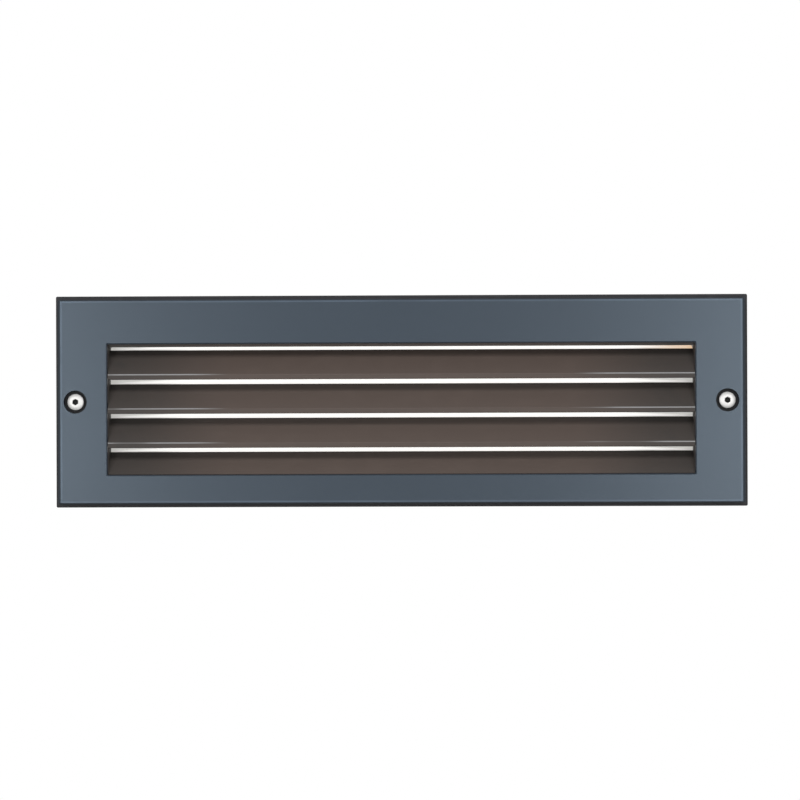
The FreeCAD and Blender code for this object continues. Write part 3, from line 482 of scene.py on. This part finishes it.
def sheet_metal(name, colour, roughness=0.32, grain=0.06 * MM, stretch=ROLLED):
    """Rolled or plated metal: fine lines along one axis, with a faint cloud in its gloss."""
    finish = Finish(name)
    lines = finish.noise(grain, stretch=stretch)
    cloud = finish.noise(9 * MM, detail=3.0)
    base = finish.tones(lines, colour, 0.9, 1.06)
    rough = lines * 0.12 + cloud * 0.12 + (roughness - 0.1)
    return finish.surface(base, rough, lines * (2 * MICRON), Metallic=1.0)


def cast_metal(name, colour, roughness=0.42):
    """Die-cast aluminium, tumbled: pitted skin, faint flow marks and paler rubbed patches."""
    finish = Finish(name)
    skin = finish.noise(0.45 * MM, detail=3.0)
    pits = finish.cells(0.9 * MM).rise(0.0, 0.35)
    flow = finish.noise(6 * MM, detail=5.0, stretch=(0.35, 1.0, 1.0))
    rubbed_and_highlight = finish.noise(18 * MM, detail=4.0).rise(0.55, 0.72) * skin
    base = finish.tones(flow, colour, 0.90, 1.07)
    base = finish.mix(rubbed_and_highlight * 0.5, base, shade(colour, 1.25))
    rough = skin * 0.14 + flow * 0.06 + roughness
    height = skin * (26 * MICRON) + pits * (9 * MICRON)
    return finish.surface(base, rough, height, Metallic=0.85)


def turned_metal(name, colour, socket_radius, crown_y, roughness=0.5, ring_width=0.11 * MM):
    """Stainless steel turned on a lathe: fine rings round the screw's axis, and painted shade, nearly black,
    down in its socket.
    """
    finish = Finish(name)
    x, y, z = finish.axes()
    radius = from_axis(abs(x) - SCREW_REACH, z)
    rings = (radius * (TURN / ring_width)).sine() * 0.5 + 0.5
    wear = finish.noise(1.6 * MM, detail=3.0)
    in_socket = 1 - radius.rise(socket_radius, 1.1 * socket_radius)
    # Nearly black down in the socket: painted shade.
    painted_shade = in_socket * y.rise(crown_y, crown_y + 0.1 * MM)
    base = finish.tones(wear, colour, 0.9, 1.05)
    base = finish.mix(painted_shade * 0.98, base, SOCKET_SHADE)
    rough = wear * 0.12 + rings * 0.05 + roughness - 0.06
    return finish.surface(base, rough, rings * (1.2 * MICRON), Metallic=1.0)


def turned_thread(name, colour, x_axis, z_axis, crest, root, line_width=0.08 * MM):
    """Cut aluminium: fine tool lines round the entry's axis, and darker, rougher roots."""
    finish = Finish(name)
    x, y, z = finish.axes()
    radius = from_axis(x - x_axis, z - z_axis)
    lines = ((radius + y * 0.4) * (TURN / line_width)).sine() * 0.5 + 0.5
    cloud = finish.noise(1.5 * MM, detail=3.0)
    # Darker and rougher down in the thread's roots.
    dark_roots = radius.rise(0.7 * crest + 0.3 * root, 0.2 * crest + 0.8 * root)
    base = finish.tones(cloud, colour, 0.85, 1.08)
    base = finish.mix(dark_roots * 0.85, base, ROOT_DARK)
    rough = cloud * 0.1 + lines * 0.06 + 0.2 + dark_roots * 0.2
    return finish.surface(base, rough, lines * MICRON, Metallic=1.0)


def moulded_plastic(name, colour, roughness=0.42, grain=0.5 * MM, depth=6 * MICRON):
    """Moulded plastic: soft spark-eroded grain and a slight change of tone."""
    finish = Finish(name)
    grains = finish.noise(grain)
    tone = finish.noise(12 * MM)
    base = finish.tones(tone, colour, 0.93, 1.04)
    return finish.surface(base, grains * 0.12 + (roughness - 0.06), grains * depth)


def striped_insulation(name, green, yellow, band_pitch=2.4 * MM):
    """Green and yellow bands, about half each, which wind along the lead."""
    finish = Finish(name)
    x, y, z = finish.axes()
    band = ((x + y * 0.9 + z * 1.4) % band_pitch).rise(1.15 * MM, 1.25 * MM)
    gloss = finish.noise(0.6 * MM)
    return finish.surface(finish.mix(band, green, yellow), gloss * 0.1 + 0.35, gloss * (3 * MICRON))


def circuit_laminate(name, mask, copper, pitch):
    """White solder mask with a copper track along each edge, and a pad round each chip."""
    finish = Finish(name)
    x, _, z = finish.axes()
    above = abs(z - PANE_CENTRE.z)
    track = above.rise(*TRACK_INNER) * (1 - above.rise(*TRACK_OUTER))
    beside = abs(from_nearest(x, pitch))
    pad = (1 - beside.rise(*PAD_EDGE)) * (1 - above.rise(*PAD_EDGE))
    weave = finish.noise(0.4 * MM)
    base = finish.mix(track.at_least(pad) * 0.35, mask, copper)
    return finish.surface(base, weave * 0.1 + 0.3, weave * (3 * MICRON) + track * (18 * MICRON))


def chip_finish(name, package, phosphor, light, pitch):
    """White package round a yellow phosphor pool, which glows a little."""
    finish = Finish(name)
    x, _, z = finish.axes()
    radius = from_axis(from_nearest(x, pitch), z - PANE_CENTRE.z)
    pool = 1 - radius.rise(POOL_RADIUS, POOL_RADIUS * 1.04)
    crystals = finish.noise(0.12 * MM)
    return finish.surface(
        finish.mix(pool, package, phosphor), crystals * 0.15 + 0.35, crystals * pool * (8 * MICRON),
        Emission_Color=finish.mix(pool, BLACK, light), Emission_Strength=0.25)


def from_axis(first, second):
    """Distance from an axis by the two coordinates across it: the root of the sum of their squares."""
    return (first ** 2.0 + second ** 2.0) ** 0.5


def from_nearest(x, pitch):
    """Signed distance along X from the nearest of many middles, which lie at whole pitches from x = 0."""
    return (x + pitch / 2) % pitch - pitch / 2


def dress(material, *nodes):
    """Gives CAD nodes a finish; their shapes stay."""
    for name in nodes:
        slots = frame["nodes"][name].data.materials
        slots.clear()
        slots.append(material)


# ---------------------------------------------------------------- surfaces on grids
def grid_faces(rows, columns, first):
    """Quads between neighbouring rows, the last column joined to the first."""
    row = np.arange(rows - 1)[:, None] * columns
    column = np.arange(columns)[None, :]
    after = (column + 1) % columns
    return (first + np.stack(
        [row + column, row + columns + column, row + columns + after, row + after], -1)).reshape(-1, 4)


def cap_faces(columns, first, pole):
    """Triangles from a ring of points to one pole."""
    column = np.arange(columns)
    return np.stack([first + column, first + (column + 1) % columns, np.full(columns, pole)], -1)


def closed_surface(grid):
    """Points and faces of a rows x columns grid of rings, closed at both ends on the ring's middle."""
    rows, columns, _ = grid.shape
    points = np.concatenate([grid.reshape(-1, 3), grid[[0, -1]].mean(axis=1)])
    last = (rows - 1) * columns
    faces = grid_faces(rows, columns, 0).tolist()
    faces += cap_faces(columns, 0, rows * columns).tolist()
    faces += cap_faces(columns, last, rows * columns + 1).tolist()
    return points, faces


def ring_surface(grid):
    """Points and faces of a grid that closes both ways, like a tube bent into a ring."""
    rows, columns, _ = grid.shape
    faces = grid_faces(rows, columns, 0)
    seam = grid_faces(2, columns, 0)
    seam = np.where(seam >= columns, seam - columns, seam + (rows - 1) * columns)
    return grid.reshape(-1, 3), np.concatenate([faces, seam]).tolist()


def around_axis(radius, y, angle, x, z):
    """Points at a radius, a depth y and an angle round the axis along Y through x and z."""
    grid = np.empty((*radius.shape, 3))
    grid[..., 0] = x + radius * np.cos(angle)
    grid[..., 1] = y
    grid[..., 2] = z + radius * np.sin(angle)
    return grid


def full_circle(columns):
    """Angles of a ring's points, from 0 to just short of a full turn."""
    return np.linspace(0, TURN, columns, endpoint=False)


def piece(name, surfaces, material, body, slot, *replaced):
    """One object from closed surfaces: faces outwards, smooth but for sharp edges, riding on a body."""
    points, faces, first = [], [], 0
    for part_points, part_faces in surfaces:
        points.append(part_points)
        faces += [[first + corner for corner in face] for face in part_faces]
        first += len(part_points)
    mesh = bpy.data.meshes.new(name)
    mesh.from_pydata(np.concatenate(points).tolist(), [], faces)
    shell = bmesh.new()
    shell.from_mesh(mesh)
    bmesh.ops.recalc_face_normals(shell, faces=shell.faces)
    shell.to_mesh(mesh)
    shell.free()
    mesh.polygons.foreach_set("use_smooth", np.ones(len(mesh.polygons), bool))
    mesh.set_sharp_from_angle(angle=SMOOTH_ANGLE)
    mesh.materials.append(material)
    made = bpy.data.objects.new(name, mesh)
    bpy.context.scene.collection.objects.link(made)
    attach(made, body)
    if replaced:
        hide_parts(*replaced)


def polygon_radius(angle, apothem, sides):
    """Radius of a regular polygon at an angle: apothem / cos(angle from the middle of its side)."""
    share = TURN / sides
    return apothem / np.cos((angle + share / 2) % share - share / 2)


def thread_wave(turns):
    """Depth share of a thread against turns along it: a triangle wave, flattened at crest and root."""
    wave = np.abs(2 * (turns % 1.0) - 1)
    return np.clip(1.25 * wave - 0.125, 0, 1)


# ---------------------------------------------------------------- new pieces
def cover_screw_surface(node, screw, columns=72, dome_rings=9, rings_per_turn=12):
    """Rings round the screw's axis: out of the socket, over the dome and rim, down the shank to its tip.

    In the socket the radius is a share of a hexagon's. Over the dome it passes from the hexagon to a circle,
    and y falls back by the share of the way out to the power 2.1. On the thread it is the crest's radius less
    a triangle wave of (y / pitch - angle / full turn), and the tip is a cone of 45 degrees.
    """
    low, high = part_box(node)
    front, tip = low.y, high.y
    angle = full_circle(columns)
    hexagon = polygon_radius(angle, screw.socket_width / 2, 6)

    floor = front + screw.socket_depth
    drill_point, chamfer = 0.25 * MM, 0.16 * MM
    socket_share, socket_y = np.array([
        (0.45, floor + drill_point), (0.97, floor), (1.00, front + 2.2 * chamfer),
        (1.03, front + chamfer), (1.10, front + 0.35 * chamfer)]).T[..., None]

    mouth = hexagon * 1.14
    dome_start, dome_end = 1.35 * MM, HEAD_RADIUS - 0.12 * MM
    dome_rise = screw.head_height - screw.rim_height
    way_out = np.linspace(0, 1, dome_rings)[:, None]
    roundness = np.minimum(1, 3 * way_out)
    circle = dome_start + way_out * (dome_end - dome_start)
    dome = np.maximum(mouth * (1 - roundness) + circle * roundness, mouth)
    dome_y = front + dome_rise * way_out ** 2.1

    under = front + screw.head_height
    edge, fillet = 0.08 * MM, 0.15 * MM
    thread_start = tip - screw.thread_length
    shank, shank_y = np.array([
        (HEAD_RADIUS, front + dome_rise + edge), (HEAD_RADIUS, under - edge), (HEAD_RADIUS - edge, under),
        (screw.shank_radius + fillet, under), (screw.shank_radius, under + fillet),
        (screw.shank_radius, thread_start)]).T[..., None]

    thread_rings = int(rings_per_turn * screw.thread_length / screw.thread_pitch)
    thread_y = np.linspace(thread_start, tip, thread_rings)[1:, None]
    turns = (thread_y - thread_start) / screw.thread_pitch
    run_in_turns = 1.2
    depth = np.minimum(1.0, turns / run_in_turns) * screw.thread_depth * thread_wave(turns - angle / TURN)
    tip_radius = screw.shank_radius - 0.5 * MM
    thread = np.minimum(screw.shank_radius - depth, tip_radius + (tip - thread_y))

    one_ring = np.ones(columns)
    radius = np.concatenate([rings * one_ring for rings in (socket_share * hexagon, dome, shank, thread)])
    y = np.concatenate([socket_y, dome_y, shank_y, thread_y])
    return closed_surface(around_axis(radius, y, angle, (low.x + high.x) / 2, (low.z + high.z) / 2))


def chip_surface(x, z, back, front, columns=40):
    """Rounded square rings: up the package's side, over its rim and down into the phosphor pool.

    Along a ring, |cos| and |sin| are raised to the power 2 / n and scaled by half the width. n falls from 9,
    nearly a square, to 2 at the pool, a circle.
    """
    scale, power, level = np.array([
        (0.98, 9.0, 0.0), (1.0, 9.0, 0.06), (1.0, 9.0, 0.86), (0.96, 9.0, 0.98), (0.88, 6.0, 1.0),
        (0.80, 2.4, 1.0), (0.77, 2.0, 0.96), (0.70, 2.0, 0.62), (0.45, 2.0, 0.66), (0.2, 2.0, 0.69),
    ]).T[..., None]
    angle = full_circle(columns)
    across, along = np.cos(angle), np.sin(angle)
    grid = np.empty((len(scale), columns, 3))
    grid[..., 0] = x + CHIP_WIDTH / 2 * scale * np.sign(across) * np.abs(across) ** (2 / power)
    grid[..., 1] = back - (back - front) * level
    grid[..., 2] = z + CHIP_WIDTH / 2 * scale * np.sign(along) * np.abs(along) ** (2 / power)
    return closed_surface(grid)


def entry_thread_surface(x, z, start, end, bore, crest, pitch, columns=96, rings_per_turn=14):
    """Internal thread: a tube whose inner radius is the bore less a triangle wave.

    The wave goes by (y / pitch - angle / full turn). The crest fades over one pitch at both ends, and the
    tube's outside lies just inside the hub's wall.
    """
    angle = full_circle(columns)
    y = np.linspace(start, end, int(rings_per_turn * (end - start) / pitch))[:, None]
    fade = np.clip(np.minimum(y - start, end - y) / pitch, 0, 1)
    share = thread_wave((y - start) / pitch - angle / TURN)
    radius = bore - fade * (1 - share) * (bore - crest)
    inner = around_axis(radius, y, angle, x, z)
    outer = around_axis(np.full((2, columns), bore + 0.05 * MM), y[[-1, 0]], angle, x, z)
    return ring_surface(np.concatenate([inner, outer]))


# ---------------------------------------------------------------- operators
class COVER_OT_finish(bpy.types.Operator):
    """Paints the cover plate and the louvres, and gives the seals round them their rubber"""

    bl_idname = "step_light.cover"
    bl_label = "Cover and louvres"

    def execute(self, context):
        cover = context.scene.step_light.cover
        slate = powder_coat("slate_paint", cover.slate, cover.sheen, cover.paint_roughness, cover.paint_grain)
        dress(slate, "faceplate")
        dress(bronze_coat("louvre_paint", cover.bronze, cover.paint_grain), "louvre_grille")
        dress(moulded_rubber("border_rubber", (0.013, 0.013, 0.015)), "wall_gasket")
        dress(moulded_rubber("seal_rubber", (0.012, 0.012, 0.013)), "flange_seal", "lead_grommet")
        dress(moulded_rubber("washer_rubber", (0.006, 0.006, 0.007), roughness=0.62), "screw_seals")
        return {"FINISHED"}


class PANE_OT_finish(bpy.types.Operator):
    """Lights the frosted pane and finishes what holds it"""

    bl_idname = "step_light.pane"
    bl_label = "Lit pane"

    def execute(self, context):
        dress(lit_pane("lit_frosted_glass", context.scene.step_light.lamp), "lens")
        silicone = moulded_plastic("silicone", (0.72, 0.72, 0.70), roughness=0.5, grain=0.3 * MM)
        dress(silicone, "lens_gasket")
        dress(sheet_metal("spring_steel", (0.56, 0.57, 0.58)), "lens_clamp")
        zinc = sheet_metal("zinc_plate", (0.62, 0.63, 0.62), roughness=0.3, grain=0.2 * MM, stretch=EVEN)
        dress(zinc, "clamp_screws", "tray_screws", "board_screws",
              "reflector_screws", "driver_screws", "terminal_screws")
        return {"FINISHED"}


class SCREW_OT_build(bpy.types.Operator):
    """Builds both socket screws with their hexagon sockets and threads"""

    bl_idname = "step_light.cover_screws"
    bl_label = "Cover screws"

    def execute(self, context):
        screw = context.scene.step_light.screw
        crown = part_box("left_cover_screw")[0].y + 0.2 * MM
        steel = turned_metal("stainless_steel", (0.56, 0.555, 0.545), screw.socket_width * 0.6, crown)
        for side in ("left", "right"):
            node = f"{side}_cover_screw"
            piece(f"{side}_socket_screw", [cover_screw_surface(node, screw)], steel,
                  f"{side}_screw", "stainless_steel", node)
        nylon = moulded_plastic("nylon", (0.80, 0.79, 0.74), roughness=0.4)
        dress(nylon, "left_screw_retainer", "right_screw_retainer")
        return {"FINISHED"}


class BOX_OT_finish(bpy.types.Operator):
    """Finishes the cast box, its inserts, posts and entry plugs"""

    bl_idname = "step_light.wall_box"
    bl_label = "Wall box"

    def execute(self, context):
        dress(cast_metal("cast_aluminium", (0.43, 0.44, 0.45)), "back_box")
        plugs = moulded_plastic("plug_paint", (0.17, 0.18, 0.19), roughness=0.4, grain=0.4 * MM)
        dress(plugs, "back_entry_plug", "left_entry_plug", "right_entry_plug")
        brass = sheet_metal("brass", (0.72, 0.52, 0.22), roughness=0.3, grain=0.12 * MM, stretch=EVEN)
        dress(brass, "screw_inserts", "tray_standoffs")
        return {"FINISHED"}


class THREAD_OT_build(bpy.types.Operator):
    """Cuts the conduit thread of the open entry at the back"""

    bl_idname = "step_light.entry_thread"
    bl_label = "Entry thread"

    def execute(self, context):
        entry = context.scene.step_light.entry
        hub = next(mount for mount in frame["record"]["mounts"] if mount["name"] == "conduit_entry")
        x, _, z = hub["pos_m"]
        bore = hub["dims"]["r_mm"] * MM
        crest = bore - entry.thread_depth
        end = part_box("back_box")[1].y - entry.lead_in
        thread = entry_thread_surface(x, z, end - entry.thread_length, end, bore, crest, entry.thread_pitch)
        finish = turned_thread("cut_aluminium", (0.60, 0.61, 0.62), x, z, crest, bore)
        piece("entry_thread", [thread], finish, "housing", "cast_aluminium")
        return {"FINISHED"}


class SOURCE_OT_build(bpy.types.Operator):
    """Builds the light-emitting chips and finishes the board, the reflector and the tray"""

    bl_idname = "step_light.light_source"
    bl_label = "Light source"

    def execute(self, context):
        count = context.scene.step_light.lamp.chip_count
        pitch = (CHIPS_HIGH.x - CHIPS_LOW.x - CHIP_WIDTH) / (count - 1)
        middle = (CHIPS_HIGH.z + CHIPS_LOW.z) / 2
        rows = [
            chip_surface(x, middle, CHIPS_HIGH.y, CHIPS_LOW.y)
            for x in (np.arange(count) - (count - 1) / 2) * pitch]
        chips = chip_finish("chip_phosphor", (0.50, 0.50, 0.49), (0.72, 0.46, 0.05), (1.0, 0.72, 0.25), pitch)
        piece("chip_row", rows, chips, "housing", "led_phosphor", "led_chips")
        dress(circuit_laminate("board_laminate", (0.56, 0.57, 0.56), (0.42, 0.40, 0.33), pitch), "led_board")
        pad = moulded_plastic("thermal_silicone", (0.42, 0.50, 0.60), roughness=0.6, grain=0.4 * MM)
        dress(pad, "thermal_pad")
        white = moulded_plastic("reflector_white", (0.60, 0.60, 0.59), roughness=0.5, grain=0.6 * MM)
        dress(white, "reflector")
        dress(moulded_plastic("connector_plastic", (0.55, 0.54, 0.50), roughness=0.4), "board_connector")
        dress(sheet_metal("sheet_aluminium", (0.56, 0.57, 0.58), roughness=0.36), "gear_tray")
        return {"FINISHED"}


class GEAR_OT_finish(bpy.types.Operator):
    """Finishes the driver, the terminal block and the leads"""

    bl_idname = "step_light.gear"
    bl_label = "Driver and leads"

    def execute(self, context):
        case = moulded_plastic(
            "driver_case", (0.78, 0.79, 0.79), roughness=0.45, grain=0.7 * MM, depth=12 * MICRON)
        dress(case, "driver")
        dress(moulded_plastic("terminal_plastic", (0.70, 0.69, 0.63)), "terminal_block")
        insulation = {
            "live_lead": (0.22, 0.09, 0.035),
            "neutral_lead": (0.03, 0.14, 0.48),
            "led_positive_lead": (0.55, 0.02, 0.015),
            "led_negative_lead": (0.018, 0.018, 0.018),
        }
        for lead, colour in insulation.items():
            dress(moulded_plastic(
                f"{lead}_insulation", colour, roughness=0.36, grain=0.4 * MM, depth=3 * MICRON), lead)
        dress(striped_insulation("earth_insulation", (0.05, 0.33, 0.06), (0.78, 0.62, 0.04)), "earth_lead")
        green = sheet_metal("earth_green", (0.10, 0.36, 0.12), roughness=0.3, grain=0.3 * MM, stretch=EVEN)
        dress(green, "earth_screw")
        tin = sheet_metal("tinned_copper", (0.68, 0.66, 0.62), roughness=0.28, grain=0.2 * MM, stretch=EVEN)
        dress(tin, "earth_lug")
        return {"FINISHED"}


class STAGE_OT_build(bpy.types.Operator):
    """Sets the floor, the room, the lamps and the camera"""

    bl_idname = "step_light.stage"
    bl_label = "Stage"

    def execute(self, context):
        stage = context.scene.step_light.stage
        context.scene.view_settings.view_transform = "Standard"
        set_floor(stage)
        set_room(context.scene, stage)
        set_lamps(context.scene, stage)
        set_camera(context.scene, stage)
        return {"FINISHED"}


# ---------------------------------------------------------------- stage
FLOOR_RINGS, FLOOR_COLUMNS = 8, 64
FLOOR_RADII = (0.15, 1.6)
FLOOR_MIDDLE_Y = 0.04
FLOOR_FADE = (0.2, 0.6)

# Each lamp's place, width and height, the setting that holds its power, and whether it shows in gloss.
LAMPS = {
    "left_lamp": ((-0.42, -1.03, 0.05), (0.2, 0.5), "side_power", True),
    "right_lamp": ((0.355, -1.05, 0.05), (0.2, 0.5), "side_power", True),
    "top_lamp": ((0.0, -0.75, 0.50), (0.9, 0.25), "top_power", False),
}


def set_floor(stage):
    """Flat disc below the cover, made of rings round an upright axis."""
    angle = full_circle(FLOOR_COLUMNS)
    radius = np.linspace(*FLOOR_RADII, FLOOR_RINGS)[:, None]
    grid = np.stack([
        radius * np.cos(angle), radius * np.sin(angle) + FLOOR_MIDDLE_Y,
        np.full((FLOOR_RINGS, FLOOR_COLUMNS), -stage.floor_drop)], -1)
    points = np.concatenate([grid.reshape(-1, 3), grid[[0]].mean(axis=1)])
    faces = grid_faces(FLOOR_RINGS, FLOOR_COLUMNS, 0).tolist()
    faces += cap_faces(FLOOR_COLUMNS, 0, FLOOR_RINGS * FLOOR_COLUMNS).tolist()
    mesh = bpy.data.meshes.new("floor")
    mesh.from_pydata(points.tolist(), [], faces)
    mesh.materials.append(floor_finish())
    floor = bpy.data.objects.new("floor", mesh)
    bpy.context.scene.collection.objects.link(floor)


def floor_finish():
    """Pale matt floor, which the camera, gloss and glass see as white beyond the middle."""
    finish = Finish("pale_floor")
    x, y, _ = finish.axes()
    away = from_axis(x, y).rise(*FLOOR_FADE)
    speck = finish.mix(finish.noise(2 * MM), (0.80, 0.80, 0.79), (0.83, 0.83, 0.82))
    matt = finish.node("ShaderNodeBsdfDiffuse", {}, {"Color": speck})
    white = finish.node("ShaderNodeEmission", {}, {"Color": rgba(WHITE), "Strength": 1.0})
    mixed = finish.node("ShaderNodeMixShader", {}, {0: away * finish.seen(), 1: matt, 2: white})
    finish.node("ShaderNodeOutputMaterial", {}, {"Surface": mixed})
    return finish.owner


def set_room(scene, stage):
    """White for what the camera, gloss and glass see, and a plain grey light from all round."""
    room = NodeTree(bpy.data.worlds.new("room"))
    light = room.node("ShaderNodeBackground", {}, {"Color": (stage.sky, stage.sky, stage.sky, 1.0)})
    white = room.node("ShaderNodeBackground", {}, {"Color": rgba(WHITE)})
    mixed = room.node("ShaderNodeMixShader", {}, {0: room.seen(), 1: light, 2: white})
    room.node("ShaderNodeOutputWorld", {}, {"Surface": mixed})
    scene.world = room.owner


def set_lamps(scene, stage):
    """Two tall soft lamps beside the camera, and a wide one above it, all aimed at the cover."""
    for name, (place, sides, power, in_gloss) in LAMPS.items():
        light = bpy.data.lights.new(name, "AREA")
        light.shape = "RECTANGLE"
        light.size, light.size_y = sides
        light.energy = getattr(stage, power)
        lamp = bpy.data.objects.new(name, light)
        lamp.location = place
        lamp.rotation_mode = "QUATERNION"
        lamp.rotation_quaternion = (-Vector(place)).to_track_quat("-Z", "Z")
        lamp.visible_camera = False
        lamp.visible_glossy = in_gloss
        scene.collection.objects.link(lamp)


def set_camera(scene, stage):
    """Camera in front of the cover, a little to its right, with a slight roll."""
    camera = bpy.data.cameras.new("camera")
    camera.lens = camera.sensor_width / stage.span * stage.distance
    holder = bpy.data.objects.new("camera", camera)
    back = Vector((math.sin(stage.azimuth), -math.cos(stage.azimuth), 0.0))
    holder.location = Vector(stage.aim) + back * stage.distance
    holder.rotation_mode = "QUATERNION"
    level = (-back).to_track_quat("-Z", "Y")
    holder.rotation_quaternion = Quaternion(-back, stage.roll) @ level
    scene.collection.objects.link(holder)
    scene.camera = holder


# ---------------------------------------------------------------- panel and run
OPERATORS = (
    STAGE_OT_build, COVER_OT_finish, PANE_OT_finish, SCREW_OT_build,
    BOX_OT_finish, THREAD_OT_build, SOURCE_OT_build, GEAR_OT_finish,
)


class STEPLIGHT_PT_panel(bpy.types.Panel):
    """Lists the step light's pieces, with one button each"""

    bl_label = "Step Light"
    bl_idname = "STEPLIGHT_PT_panel"
    bl_space_type = "VIEW_3D"
    bl_region_type = "UI"
    bl_category = "Step Light"

    def draw(self, context):
        settings = context.scene.step_light
        for operator in OPERATORS:
            self.layout.operator(operator.bl_idname)
        for group in (settings.cover, settings.lamp, settings.screw, settings.entry, settings.stage):
            box = self.layout.box()
            for name in group.bl_rna.properties.keys():
                if name not in ("rna_type", "name"):
                    box.prop(group, name)


CLASSES = (
    CoverSettings, LampSettings, ScrewSettings, EntrySettings, StageSettings, StepLightSettings,
    *OPERATORS, STEPLIGHT_PT_panel,
)


def register():
    for known in CLASSES:
        bpy.utils.register_class(known)
    bpy.types.Scene.step_light = bpy.props.PointerProperty(type=StepLightSettings)


def unregister():
    del bpy.types.Scene.step_light
    for known in reversed(CLASSES):
        bpy.utils.unregister_class(known)


def main():
    """Builds all pieces in order."""
    register()
    for operator in OPERATORS:
        group, name = operator.bl_idname.split(".")
        getattr(getattr(bpy.ops, group), name)()


if __name__ == "__main__":
    main()
